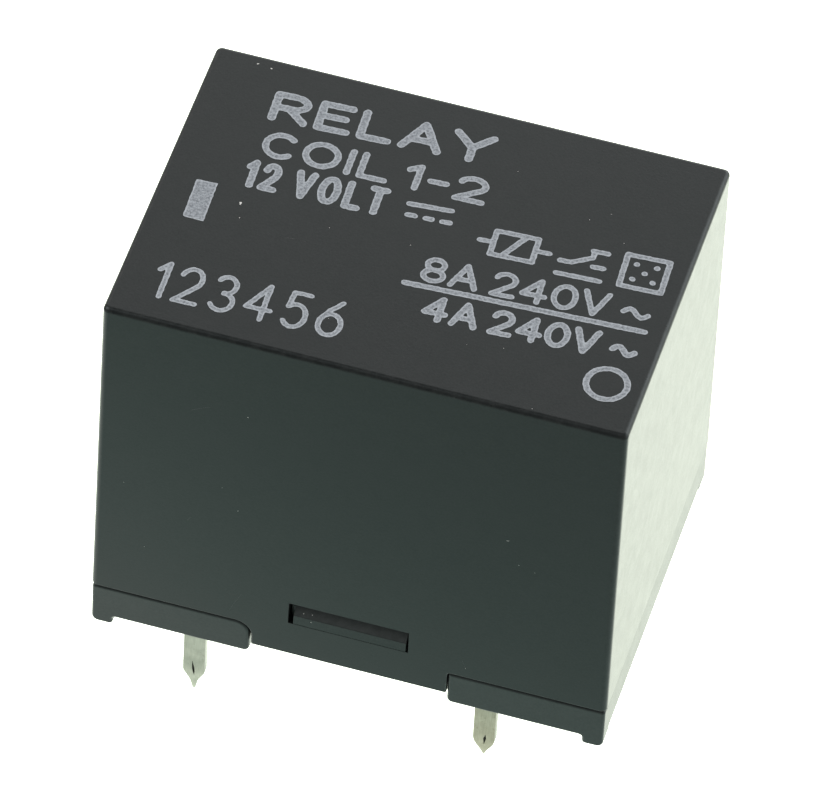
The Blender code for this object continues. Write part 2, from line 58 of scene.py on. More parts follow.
# --- camera ------------------------------------------------------------------------------------------------------------
camera_data = bpy.data.cameras.new("camera")
camera_data.sensor_width = 36.0
camera_data.lens = 459.6955181720142
camera_data.clip_start, camera_data.clip_end = 0.01, 20.0
camera = bpy.data.objects.new("camera", camera_data)
scene.collection.objects.link(camera)
right = Vector((0.9576248826455098, 0.285088092339441, 0.040980040805641896))
up = Vector((-0.23683190309832752, 0.6984543781903515, 0.6753311271232454))
back = Vector((0.16390617380989075, -0.6564192724113049, 0.7363752474071992))
camera.matrix_world = Matrix((
    (right.x, up.x, back.x, 69.99657793737829 * MM),
    (right.y, up.y, back.y, -280.8852104215339 * MM),
    (right.z, up.z, back.z, 324.65965637796154 * MM),
    (0, 0, 0, 1),
))
scene.camera = camera
scene.view_settings.view_transform = "Standard"
scene.view_settings.look = "None"


# --- outlines and solids, in millimetres ---------------------------------------------------------------------------------
def rounded(corners, n=8):
    """Outline through (u, v, r) corners, each turned by an arc of radius r in n steps."""
    out = []
    for i, (u, v, r) in enumerate(corners):
        p = Vector((u, v))
        if r <= 0:
            out.append((u, v))
            continue
        da = (Vector(corners[i - 1][:2]) - p).normalized()
        db = (Vector(corners[(i + 1) % len(corners)][:2]) - p).normalized()
        half = da.angle(db) / 2
        centre = p + (da + db).normalized() * (r / math.sin(half))
        start, end = p + da * (r / math.tan(half)) - centre, p + db * (r / math.tan(half)) - centre
        a0 = math.atan2(start.y, start.x)
        turn = (math.atan2(end.y, end.x) - a0 + math.pi) % (2 * math.pi) - math.pi
        for k in range(n + 1):
            a = a0 + turn * k / n
            out.append((centre.x + r * math.cos(a), centre.y + r * math.sin(a)))
    return out


def rectangle(x0, x1, y0, y1, r=0.0, n=8):
    return rounded([(x0, y0, r), (x1, y0, r), (x1, y1, r), (x0, y1, r)], n)


PLACE = {
    "x": lambda u, v, t: (t, u, v),
    "y": lambda u, v, t: (u, t, v),
    "z": lambda u, v, t: (u, v, t),
}


def loft(bm, rings):
    loops = [[bm.verts.new(p) for p in ring] for ring in rings]
    for low, high in zip(loops, loops[1:]):
        for i in range(len(low)):
            j = (i + 1) % len(low)
            bm.faces.new((low[i], low[j], high[j], high[i]))
    bm.faces.new(list(reversed(loops[0])))
    bm.faces.new(loops[-1])
    return bm


def prism(outline, axis, a, b, bm=None):
    return loft(bm or bmesh.new(), [[PLACE[axis](u, v, t) for u, v in outline] for t in (a, b)])


def box(x0, x1, y0, y1, z0, z1, bm=None):
    return prism(rectangle(x0, x1, y0, y1), "z", z0, z1, bm)


def lathe(profile, n=64, centre=(0.0, 0.0, 0.0)):
    bm = bmesh.new()
    closed = profile[0][0] > 1e-9
    rows = []
    for r, h in profile:
        if r < 1e-9:
            rows.append([bm.verts.new((0.0, 0.0, h))])
        else:
            rows.append([
                bm.verts.new((r * math.cos(2 * math.pi * k / n), r * math.sin(2 * math.pi * k / n), h)) for k in range(n)
            ])
    for low, high in list(zip(rows, rows[1:])) + ([(rows[-1], rows[0])] if closed else []):
        for k in range(n):
            m = (k + 1) % n
            if len(low) == 1:
                bm.faces.new((low[0], high[m], high[k]))
            elif len(high) == 1:
                bm.faces.new((low[k], low[m], high[0]))
            else:
                bm.faces.new((low[k], low[m], high[m], high[k]))
    bmesh.ops.translate(bm, verts=bm.verts, vec=centre)
    return bm


def mesh_object(name, bm):
    """An object in metres from a bmesh in millimetres."""
    bmesh.ops.recalc_face_normals(bm, faces=bm.faces)
    bmesh.ops.transform(bm, matrix=Matrix.Scale(MM, 4), verts=bm.verts)
    mesh = bpy.data.meshes.new(name)
    bm.to_mesh(mesh)
    bm.free()
    ob = bpy.data.objects.new(name, mesh)
    scene.collection.objects.link(ob)
    return ob


def combine(ob, operations):
    """Booleans on ob, in order; the construction solids are removed afterwards."""
    guides = []
    for k, (operation, bm) in enumerate(operations):
        guide = mesh_object(f"{ob.name}_guide_{k}", bm)
        mod = ob.modifiers.new(f"op{k}", "BOOLEAN")
        mod.operation = operation
        mod.solver = "EXACT"
        mod.object = guide
        guides.append(guide)
    settle(ob)
    for guide in guides:
        mesh = guide.data
        bpy.data.objects.remove(guide)
        bpy.data.meshes.remove(mesh)


def settle(ob):
    """Turns an object's modifiers into its mesh."""
    bpy.context.view_layer.update()
    made = bpy.data.meshes.new_from_object(ob.evaluated_get(bpy.context.evaluated_depsgraph_get()))
    ob.modifiers.clear()
    old = ob.data
    ob.data = made
    made.name = ob.name
    bpy.data.meshes.remove(old)


def clean(ob):
    bm = bmesh.new()
    bm.from_mesh(ob.data)
    bmesh.ops.remove_doubles(bm, verts=bm.verts, dist=1e-8)
    bmesh.ops.dissolve_degenerate(bm, edges=bm.edges, dist=2e-7)
    bm.to_mesh(ob.data)
    bm.free()
    ob.data.shade_smooth()


def soften(ob, width, segments=3, angle=40):
    """A small radius on every edge sharper than angle."""
    clean(ob)
    mod = ob.modifiers.new("edge", "BEVEL")
    mod.width = width * MM
    mod.segments = segments
    mod.limit_method = "ANGLE"
    mod.angle_limit = math.radians(angle)
    mod.use_clamp_overlap = False
    mod.miter_outer = "MITER_ARC"
    settle(ob)


def flatten_shading(ob):
    """Flat faces shaded flat right up to their rounded borders; edges left sharp stay sharp."""
    clean(ob)
    ob.data.set_sharp_from_angle(angle=math.radians(38))
    mark_edges(ob.data)
    mod = ob.modifiers.new("normals", "WEIGHTED_NORMAL")
    mod.weight = 80
    mod.keep_sharp = True
    settle(ob)


def mark_edges(mesh):
    """Stores on each vertex how tightly the surface turns there: 0 on a flat or a wide curve, 1 on a small radius."""
    bm = bmesh.new()
    bm.from_mesh(mesh)
    values = np.zeros(len(bm.verts), np.float32)
    for e in bm.edges:
        if len(e.link_faces) != 2 or e.calc_length() < 1e-9:
            continue
        across = sum(f.calc_area() for f in e.link_faces) / e.calc_length() / 2
        turn = e.calc_face_angle_signed(0.0)
        tight = turn / max(across, 1e-6) * MM
        value = max(0.0, min(1.0, (tight - 2.5) / 5.0))
        for v in e.verts:
            values[v.index] = max(values[v.index], value)
    bm.free()
    (mesh.attributes.get("edge") or mesh.attributes.new("edge", "FLOAT", "POINT")).data.foreach_set("value", values)


def inset(corners, d):
    """The same (u, v, r) corners with every side moved inwards by d. Corners run counterclockwise."""
    out = []
    n = len(corners)
    for i, (u, v, r) in enumerate(corners):
        p, q, w = Vector(corners[i - 1][:2]), Vector((u, v)), Vector(corners[(i + 1) % n][:2])
        a, b = (q - p).normalized(), (w - q).normalized()
        turn = a.x * b.y - a.y * b.x
        na, nb = Vector((-a.y, a.x)), Vector((-b.y, b.x))
        s = d / (1 + na.dot(nb))
        m = q + (na + nb) * s
        out.append((m.x, m.y, max(0.0, r - d) if turn > 0 else (r + d if r > 0 else 0.0)))
    return out


def soft_prism(corners, axis, a, b, r, n=5, bm=None, steps=8):
    """A prism whose two end faces have edges of radius r; its own corners are kept a little rounder than that."""
    corners = [(u, v, max(c, r + 0.004)) for u, v, c in corners]
    rows = [(r * (1 - math.cos(math.pi / 2 * k / n)), r * (1 - math.sin(math.pi / 2 * k / n))) for k in range(n + 1)]
    levels = [(a + at, d) for at, d in rows] + [(b - at, d) for at, d in reversed(rows)]
    return loft(bm or bmesh.new(), [[PLACE[axis](u, v, t) for u, v in rounded(inset(corners, d), steps)] for t, d in levels])


# --- materials ---------------------------------------------------------------------------------------------------------
class Finish:
    """A node material. Coordinates come in millimetres of the part's own frame."""

    def __init__(self, name):
        self.material = bpy.data.materials.new(name)
        self.material.use_nodes = True
        self.nodes = self.material.node_tree.nodes
        self.links = self.material.node_tree.links
        self.shader = self.nodes["Principled BSDF"]
        coordinate = self.nodes.new("ShaderNodeTexCoord")
        scale = self.nodes.new("ShaderNodeMapping")
        scale.inputs["Scale"].default_value = (1000, 1000, 1000)
        self.links.new(coordinate.outputs["Object"], scale.inputs["Vector"])
        self.mm = scale.outputs["Vector"]
        self.height = None

    def set(self, **values):
        for key, value in values.items():
            self.shader.inputs[key.replace("_", " ")].default_value = value
        return self

    def to(self, socket, output):
        self.links.new(output, self.shader.inputs[socket])

    def stretched(self, scale):
        node = self.nodes.new("ShaderNodeMapping")
        node.inputs["Scale"].default_value = scale
        self.links.new(self.mm, node.inputs["Vector"])
        return node.outputs["Vector"]

    def noise(self, scale, detail=2.0, roughness=0.5, vector=None, distortion=0.0):
        node = self.nodes.new("ShaderNodeTexNoise")
        node.inputs["Scale"].default_value = scale
        node.inputs["Detail"].default_value = detail
        node.inputs["Roughness"].default_value = roughness
        node.inputs["Distortion"].default_value = distortion
        self.links.new(vector or self.mm, node.inputs["Vector"])
        return node.outputs["Fac"]

    def cells(self, scale, vector=None, feature="F1"):
        node = self.nodes.new("ShaderNodeTexVoronoi")
        node.feature = feature
        node.inputs["Scale"].default_value = scale
        self.links.new(vector or self.mm, node.inputs["Vector"])
        return node.outputs["Distance"]

    def attribute(self, name):
        node = self.nodes.new("ShaderNodeAttribute")
        node.attribute_name = name
        return node.outputs["Fac"]

    def spread(self, value, low, high, to_low, to_high):
        node = self.nodes.new("ShaderNodeMapRange")
        for key, number in (("From Min", low), ("From Max", high), ("To Min", to_low), ("To Max", to_high)):
            node.inputs[key].default_value = number
        self.links.new(value, node.inputs["Value"])
        return node.outputs["Result"]

    def math(self, operation, a, b):
        node = self.nodes.new("ShaderNodeMath")
        node.operation = operation
        for k, v in ((0, a), (1, b)):
            if isinstance(v, (int, float)):
                node.inputs[k].default_value = v
            else:
                self.links.new(v, node.inputs[k])
        return node.outputs["Value"]

    def mix(self, factor, a, b):
        node = self.nodes.new("ShaderNodeMix")
        node.data_type = "RGBA"
        for k, v in ((0, factor), (6, a), (7, b)):
            if isinstance(v, (int, float)):
                node.inputs[k].default_value = v
            elif isinstance(v, tuple):
                node.inputs[k].default_value = (*v, 1.0)
            else:
                self.links.new(v, node.inputs[k])
        return node.outputs[2]

    def bump(self, height, distance_um, strength=1.0):
        node = self.nodes.new("ShaderNodeBump")
        node.inputs["Distance"].default_value = distance_um * 1e-6
        node.inputs["Strength"].default_value = strength
        self.links.new(height, node.inputs["Height"])
        if self.height is not None:
            self.links.new(self.height, node.inputs["Normal"])
        self.height = node.outputs["Normal"]
        self.links.new(self.height, self.shader.inputs["Normal"])


def moulded(name, dark, light, rough, grain_um, wave_um, worn_and_highlit, ior=1.5, painted_lift_above=None):
    """Moulded plastic: fine spark texture, slow sink and flow marks, faint handling polish, and rubbed edges that are
    paler and glossier, their paler tone partly wear and partly a painted edge highlight.
    The last argument is a height and a tone: above that height the colour is painted paler, painted light on the latch
    ramp, which sits in shade."""
    f = Finish(name)
    f.set(IOR=ior)
    f.shader.inputs["Specular Tint"].default_value = (0.86, 0.985, 1.0, 1.0)
    fine = f.noise(11.0, 3.0, 0.6)
    pits = f.cells(7.0)
    slow = f.noise(0.22, 2.0, 0.5)
    blotch = f.noise(1.3, 4.0, 0.6, distortion=0.4)
    tone = f.mix(f.spread(blotch, 0.3, 0.7, 0.0, 1.0), dark, light)
    tone = f.mix(f.spread(fine, 0.35, 0.75, 0.0, 0.50), tone, tuple(min(1.0, 1.9 * c) for c in light))
    edge = f.attribute("edge")
    # paler tone on tight edges: partly wear, partly a painted edge highlight
    rub_and_highlight = f.math("MULTIPLY", edge, f.spread(f.noise(2.2, 4.0, 0.7), 0.42, 0.70, 0.0, 1.0))
    tone = f.mix(rub_and_highlight, tone, worn_and_highlit)
    if painted_lift_above:
        # the colour above the given height is painted paler: painted light on the latch ramp, which sits in shade
        place = f.nodes.new("ShaderNodeSeparateXYZ")
        f.links.new(f.mm, place.inputs[0])
        painted_lift = f.math("MULTIPLY", f.spread(place.outputs["Z"], painted_lift_above[0], painted_lift_above[0] + 0.05, 0.0, 1.0),
                      f.spread(f.noise(3.0, 3.0, 0.6), 0.3, 0.6, 0.55, 1.0))
        tone = f.mix(painted_lift, tone, painted_lift_above[1])
    f.to("Base Color", tone)
    gloss = f.spread(blotch, 0.3, 0.7, rough - 0.016, rough + 0.020)
    gloss = f.math("ADD", gloss, f.spread(fine, 0.3, 0.7, -0.02, 0.02))
    gloss = f.math("SUBTRACT", gloss, f.math("MULTIPLY", rub_and_highlight, 0.06))
    f.to("Roughness", gloss)
    f.bump(slow, wave_um)
    drawn = f.noise(1.0, 3.0, 0.55, vector=f.stretched((2.4, 2.4, 0.05)))
    f.bump(drawn, 0.3)
    f.bump(fine, grain_um)
    f.bump(pits, grain_um * 0.5)
    return f


# the pale edge tone in each call is partly wear and partly a painted edge highlight
case_black = moulded("case_black", (0.0075, 0.0084, 0.0081), (0.0105, 0.0112, 0.0109), 0.31, 2.3, 1.2,
                     (0.052, 0.055, 0.053), 1.45)
# above 3.36 mm the base is painted paler: painted light on the latch ramp in its window
base_black = moulded("base_black", (0.0175, 0.0195, 0.0190), (0.0235, 0.0260, 0.0250), 0.35, 2.2, 1.6,
                     (0.036, 0.039, 0.037), 1.45, (3.36, (0.064, 0.068, 0.066)))

mark_grey = Finish("laser_mark")
mark_grey.set(IOR=1.45)
speckle = mark_grey.noise(9.0, 4.0, 0.7)
rim = mark_grey.spread(mark_grey.attribute("rim"), 0.02, 0.085, 1.0, 0.0)
inner = mark_grey.mix(mark_grey.spread(speckle, 0.36, 0.62, 0.0, 1.0), (0.170, 0.188, 0.207), (0.43, 0.465, 0.505))
mark_grey.to("Base Color", mark_grey.mix(mark_grey.math("MULTIPLY", rim, mark_grey.spread(speckle, 0.3, 0.55, 0.45, 0.85)), inner,
                                         (0.52, 0.56, 0.60)))
mark_grey.to("Roughness", mark_grey.spread(speckle, 0.3, 0.7, 0.62, 0.82))
mark_grey.bump(speckle, 3.0)

speck_white = Finish("dust")
speck_white.to("Base Color", speck_white.mix(speck_white.noise(30.0, 2.0), (0.62, 0.62, 0.58), (0.90, 0.90, 0.86)))
speck_white.to("Roughness", speck_white.spread(speck_white.noise(60.0), 0.3, 0.7, 0.7, 0.95))
speck_white.bump(speck_white.noise(60.0), 4.0)

scratch_grey = Finish("scratch")
scratch_grey.to("Base Color", scratch_grey.mix(scratch_grey.noise(6.0, 3.0), (0.035, 0.037, 0.037), (0.135, 0.138, 0.135)))
scratch_grey.to("Roughness", scratch_grey.spread(scratch_grey.noise(20.0), 0.3, 0.7, 0.5, 0.7))


def metal(name, low, high, rough, grain=(1.0, 1.0, 1.0), scale=6.0, bump_um=1.2, metallic=1.0, spots=None, sheared=None):
    """Sheet or wire metal: rolling or drawing lines, cloudy tone, uneven gloss and rubbed edges."""
    f = Finish(name)
    f.set(Metallic=metallic)
    lines = f.noise(scale, 4.0, 0.6, vector=f.stretched(grain))
    cloud = f.noise(0.9, 4.0, 0.6, distortion=0.6)
    tone = f.mix(f.spread(cloud, 0.32, 0.68, 0.0, 1.0), low, high)
    tone = f.mix(f.spread(lines, 0.35, 0.7, 0.0, 0.35), tone, tuple(0.75 * c for c in low))
    if spots:
        tone = f.mix(f.spread(f.noise(3.4, 5.0, 0.75), 0.60, 0.72, 0.0, 0.8), tone, spots)
    if sheared:
        tone = f.mix(f.spread(f.noise(0.30, 2.0), 0.3, 0.7, 0.0, 0.5), tone, spots)
        tone = f.mix(f.math("MULTIPLY", f.attribute("sheared"), 0.85), tone, sheared)
    f.to("Base Color", tone)
    f.to("Roughness", f.math("ADD", f.spread(cloud, 0.3, 0.7, rough - 0.05, rough + 0.07),
                             f.spread(lines, 0.3, 0.7, -0.05, 0.05)))
    f.bump(lines, bump_um)
    f.bump(f.noise(2.6, 3.0, 0.6), bump_um * 2.0)
    return f


tin = metal("tinned_copper", (0.335, 0.355, 0.305), (0.565, 0.575, 0.50), 0.34, (5.0, 5.0, 0.35), 5.0, 2.0,
            spots=(0.22, 0.23, 0.185), sheared=(0.145, 0.145, 0.125))
# a darker, browner copy of the tinned copper, for the three contact terminals
darker_tin = metal("darker_tinned_copper", (0.28, 0.275, 0.215), (0.48, 0.475, 0.39), 0.37, (5.0, 5.0, 0.35), 5.0, 2.4,
                 spots=(0.20, 0.19, 0.13), sheared=(0.13, 0.13, 0.11))
iron = metal("relay_iron", (0.50, 0.50, 0.47), (0.62, 0.61, 0.58), 0.34, (0.4, 6.0, 6.0), 5.0, 1.2)
core_metal = metal("core_iron", (0.52, 0.51, 0.48), (0.64, 0.63, 0.60), 0.28, (1.0, 1.0, 14.0), 3.0, 1.0)
spring_metal = metal("spring_copper", (0.66, 0.40, 0.24), (0.80, 0.53, 0.35), 0.27, (0.3, 8.0, 8.0), 6.0, 0.8)
# near-black finish for the pin creases: painted shade
crease_shade_metal = metal("crease_painted_shade", (0.07, 0.07, 0.06), (0.14, 0.14, 0.12), 0.55, (5.0, 5.0, 0.35), 5.0, 2.0, 0.6)
silver = metal("contact_silver", (0.74, 0.73, 0.69), (0.88, 0.87, 0.84), 0.26, (1.0, 1.0, 1.0), 8.0, 0.8)
rivet = metal("rivet_copper", (0.60, 0.34, 0.20), (0.76, 0.48, 0.31), 0.32, (1.0, 1.0, 1.0), 6.0, 1.4)
wire = metal("enamelled_copper", (0.36, 0.105, 0.035), (0.52, 0.19, 0.075), 0.30, (1.0, 1.0, 9.0), 3.0, 1.0, 0.65)
wire.set(**{"Coat Weight": 0.7, "Coat Roughness": 0.12})

bobbin_white = moulded("bobbin_plastic", (0.50, 0.48, 0.42), (0.60, 0.58, 0.51), 0.44, 1.2, 8.0, (0.68, 0.66, 0.60))
resin = Finish("seal_resin")
resin.set(IOR=1.55)
cloud = resin.noise(2.4, 3.0, 0.6)
resin.to("Base Color", resin.mix(resin.spread(cloud, 0.3, 0.7, 0.0, 1.0), (0.016, 0.014, 0.012), (0.045, 0.038, 0.030)))
resin.to("Roughness", resin.spread(cloud, 0.3, 0.7, 0.10, 0.26))
resin.bump(resin.noise(1.8, 2.0), 30.0)

NODE_FINISH = {
    "bobbin": bobbin_white, "coil_winding": wire, "coil_lead_front": wire, "coil_lead_back": wire,
    "core": core_metal, "yoke": iron, "armature": iron, "moving_contact": silver, "contact_no": silver,
    "contact_nc": silver, "spring_rivet_front": rivet, "spring_rivet_back": rivet, "armature_rivet_front": rivet,
    "armature_rivet_back": rivet, "pin_seal_coil_front": resin, "pin_seal_coil_back": resin, "pin_seal_no": resin,
    "pin_seal_nc": resin, "pin_seal_common": resin, "terminal_no": darker_tin, "terminal_nc": darker_tin,
    "terminal_common": darker_tin,
    "coil_terminal_front": tin, "coil_terminal_back": tin, "moving_spring": spring_metal, "case": case_black,
    "base": base_black,
}
for node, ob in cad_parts.items():
    ob.data.materials.clear()
    ob.data.materials.append(NODE_FINISH[node].material)


def dress(ob, finish, body="relay"):
    ob.data.materials.clear()
    ob.data.materials.append(finish.material)
    if body:
        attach(ob, body)
    return ob


# --- case ----------------------------------------------------------------------------------------------------------------
HX, HY, TOP = 11.10, 8.00, 18.892
DRAFT_X, DRAFT_Y, EDGE_Z = 0.09, 0.14, 2.26
CORNER_R, TOP_R = 0.28, 0.22


def case_ring(z, inward=0.0):
    k = (min(z, TOP - TOP_R) - EDGE_Z) / (TOP - TOP_R - EDGE_Z)
    x, y = HX - DRAFT_X * k - inward, HY - DRAFT_Y * k - inward
    return [(u, v, z) for u, v in rectangle(-x, x, -y, y, CORNER_R - inward * 0.8, 10)]


rings = [case_ring(0.6), case_ring(TOP - TOP_R)]
for i in range(1, 11):
    a = math.pi / 2 * i / 10
    rings.append(case_ring(TOP - TOP_R + TOP_R * math.sin(a), TOP_R * (1 - math.cos(a))))
case = mesh_object("case_shell", loft(bmesh.new(), rings))
cavity = [
    [(u, v, z) for u, v in rectangle(-10.35 + d, 10.35 - d, -7.30 + d, 7.30 - d, 0.45 - d, 6)]
    for z, d in ((0.0, 0.0), (17.65, 0.0), (17.86, 0.09), (17.95, 0.3))
]
combine(case, [
    ("DIFFERENCE", loft(bmesh.new(), cavity)),
    ("DIFFERENCE", prism(rounded([
        (-20, -2, 0), (20, -2, 0), (20, EDGE_Z, 0), (4.305, EDGE_Z, 0.15), (4.305, 1.02, 0), (-4.13, 1.02, 0),
        (-4.13, EDGE_Z, 0.72), (-20, EDGE_Z, 0)], 8), "y", -12, 12)),
])
soften(case, 0.08)
combine(case, [("DIFFERENCE", prism(rectangle(-2.58, 2.58, 2.92, 4.12), "y", -12, 12))])
soften(case, 0.012, 2, 60)
flatten_shading(case)
dress(case, case_black)
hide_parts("case")

# --- base ----------------------------------------------------------------------------------------------------------------
BX, BY, RIM_Z, UNDER_Z, FOOT, SOFT = 11.06, 7.97, 2.23, 0.45, 0.92, 0.15
blocks = soft_prism([
    (-BX, RIM_Z, 0.13), (-BX, 0, 0.30), (-BX + FOOT, 0, 0.13), (-BX + FOOT, UNDER_Z, 0.10),
    (-4.22, UNDER_Z, 0.24), (-4.22, RIM_Z, 0.65)], "y", -BY, BY, SOFT)
soft_prism([
    (BX, RIM_Z, 0.13), (4.32, RIM_Z, 0.13), (4.32, UNDER_Z, 0.24), (BX - FOOT, UNDER_Z, 0.10),
    (BX - FOOT, 0, 0.13), (BX, 0, 0.30)], "y", -BY, BY, SOFT, bm=blocks)
base = mesh_object("base_moulding", blocks)
between_feet = rounded([(-(BY - FOOT), -1, 0), (BY - FOOT, -1, 0), (BY - FOOT, UNDER_Z + 0.003, 0.12),
                        (-(BY - FOOT), UNDER_Z + 0.003, 0.12)], 8)
steps = [("DIFFERENCE", prism(between_feet, "x", -12, -BX + FOOT + 0.12)),
         ("DIFFERENCE", prism(between_feet, "x", BX - FOOT - 0.12, 12))]
plug = [[(u, v, z) for u, v in rectangle(-10.25 + d, 10.25 - d, -7.15 + d, 7.15 - d, 0.4)]
        for z, d in ((0.60, 0.08), (0.68, 0.0), (2.74, 0.0), (2.80, 0.06))]
steps.append(("UNION", loft(bmesh.new(), plug)))
for sy in (-1, 1):
    y0, y1 = sorted((sy * 6.35, sy * 7.15))
    steps.append(("UNION", box(-3.1, 3.1, y0, y1, 2.40, 4.35)))
    for x0, x1, tab, r in (
            (-2.53, 2.54, [(6.9, 2.98, 0), (7.60, 2.98, 0), (7.60, 3.60, 0), (7.15, 4.05, 0), (6.9, 4.05, 0)], 0.02),
            (-2.37, 2.47, [(6.8, 2.921, 0), (7.985, 2.921, 0.012), (7.935, 3.37, 0.03), (7.25, 4.07, 0), (6.8, 4.07, 0)], 0.012)):
        corners = [(sy * v, z, c) for v, z, c in tab]
        steps.append(("UNION", soft_prism(corners if sy > 0 else corners[::-1], "x", x0, x1, r, 3, None, 4)))
PINS = [(-6.99, -6.20, 0.475, 0.21), (5.56, -5.80, 0.475, 0.21), (-6.99, 6.20, 0.475, 0.21), (5.56, 5.80, 0.475, 0.21),
        (-8.95, 0.0, 0.21, 0.475)]
for x, y, a, b in PINS:
    steps.append(("DIFFERENCE", box(x - a - 0.04, x + a + 0.04, y - b - 0.04, y + b + 0.04, 0.90, 4.5)))
    well = [[(u, v, z) for u, v in rectangle(x - a - 0.42 - d, x + a + 0.42 + d, y - b - 0.42 - d, y + b + 0.42 + d, 0.3 + d, 5)]
            for z, d in ((-1, 0.07), (UNDER_Z, 0.07), (UNDER_Z + 0.07, 0.0), (0.95, 0.0))]
    steps.append(("DIFFERENCE", loft(bmesh.new(), well)))
for sy in (-1, 1):
    y = sy * 5.80
    steps.append(("DIFFERENCE", box(5.56 - 0.475 - 0.04, 8.84, y - 0.25, y + 0.25, 1.5, 4.5)))
steps.append(("DIFFERENCE", box(-8.95 - 0.25, -8.95 + 0.25, -1.56, 1.56, 1.4, 4.5)))
combine(base, steps)
flatten_shading(base)
dress(base, base_black)
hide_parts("base")


# --- marks ---------------------------------------------------------------------------------------------------------------
def arc(cx, cy, rx, ry, a0, a1, n=20):
    return [(cx + rx * math.cos(math.radians(a0 + (a1 - a0) * k / n)), cy + ry * math.sin(math.radians(a0 + (a1 - a0) * k / n)))
            for k in range(n + 1)]


GLYPHS = {
    "R": (0.62, [[(0, 0), (0, 1), (0.32, 1)] + arc(0.34, 0.74, 0.26, 0.26, 90, -90)[1:] + [(0, 0.48)], [(0.28, 0.48), (0.62, 0)]]),
    "E": (0.56, [[(0.56, 1), (0, 1), (0, 0), (0.56, 0)], [(0, 0.52), (0.48, 0.52)]]),
    "L": (0.54, [[(0, 1), (0, 0), (0.54, 0)]]),
    "A": (0.70, [[(0, 0), (0.35, 1), (0.70, 0)], [(0.13, 0.34), (0.57, 0.34)]]),
    "Y": (0.70, [[(0, 1), (0.35, 0.48), (0.70, 1)], [(0.35, 0.48), (0.35, 0)]]),
    "V": (0.66, [[(0, 1), (0.33, 0), (0.66, 1)]]),
    "0": (0.60, [arc(0.30, 0.5, 0.30, 0.5, 0, 360, 40)]),
    "1": (0.24, [[(0, 0.78), (0.22, 1), (0.22, 0)]]),
    "2": (0.58, [arc(0.29, 0.71, 0.27, 0.29, 165, -38) + [(0, 0), (0.58, 0)]]),
    "3": (0.56, [arc(0.27, 0.75, 0.25, 0.25, 150, -90), arc(0.27, 0.26, 0.29, 0.26, 90, -150)]),
    "4": (0.64, [[(0.46, 0), (0.46, 1), (0, 0.3), (0.64, 0.3)]]),
    "5": (0.58, [[(0.54, 1), (0.10, 1), (0.06, 0.57)] + arc(0.28, 0.335, 0.29, 0.335, 128, -145)]),
    "6": (0.58, [[(0.46, 1), (0.20, 0.72), (0.03, 0.44)], arc(0.29, 0.31, 0.29, 0.31, 0, 360, 36)]),
    "8": (0.56, [arc(0.28, 0.75, 0.24, 0.25, 0, 360, 32), arc(0.28, 0.255, 0.28, 0.255, 0, 360, 32)]),
    "C": (0.62, [arc(0.33, 0.5, 0.33, 0.5, 48, 312, 30)]),
    "O": (0.70, [arc(0.35, 0.5, 0.35, 0.5, 0, 360, 40)]),
    "I": (0.02, [[(0.01, 1), (0.01, 0)]]),
    "T": (0.60, [[(0, 1), (0.60, 1)], [(0.30, 1), (0.30, 0)]]),
    "-": (0.34, [[(0, 0.47), (0.34, 0.47)]]),
    "~": (0.70, [[(0.70 * k / 20, 0.42 + 0.16 * math.sin(2 * math.pi * k / 20)) for k in range(21)]]),
}


def placed(points, x, y, angle, scale=1.0):
    c, s = math.cos(math.radians(angle)), math.sin(math.radians(angle))
    return [(x + scale * (u * c - v * s), y + scale * (u * s + v * c)) for u, v in points]


def row(text, x0, y0, x1, y1, height, half, gap=0.30, space=0.30):
    """Strokes of one line of characters, height tall. Its ink runs from x0 to x1 and stands on y0 and y1 at its two ends;
    the characters are widened to fill it, with gap between their centre lines in units of the height."""
    h = height - 2 * half
    angle = math.degrees(math.atan2(y1 - y0, x1 - x0))
    natural = sum(GLYPHS[ch][0] for ch in text if ch != " ")
    solid = len(text.replace(" ", ""))
    length = (math.hypot(x1 - x0, y1 - y0) - 2 * half) / h
    widen = (length - gap * (solid - 1) - space * text.count(" ")) / natural
    strokes, at = [], 0.0
    c, s = math.cos(math.radians(angle)), math.sin(math.radians(angle))
    ox, oy = x0 + half * c - half * s, y0 + half * c + half * s
    for ch in text:
        if ch == " ":
            at += space
            continue
        width, lines = GLYPHS[ch]
        for stroke in lines:
            strokes.append(placed([(at + widen * u, v) for u, v in stroke], ox, oy, angle, h))
        at += widen * width + gap
    return strokes


def ragged(x, y):
    """Slow irregularity of a burnt mark's border, in millimetres."""
    return 0.012 * np.sin(9.1 * x + 1.7 * np.sin(7.3 * y)) * np.sin(8.3 * y + 1.3 * np.sin(6.1 * x + 0.4)) \
        + 0.007 * np.sin(23.0 * x + 2.0 * y) * np.sin(19.0 * y - 3.0 * x)


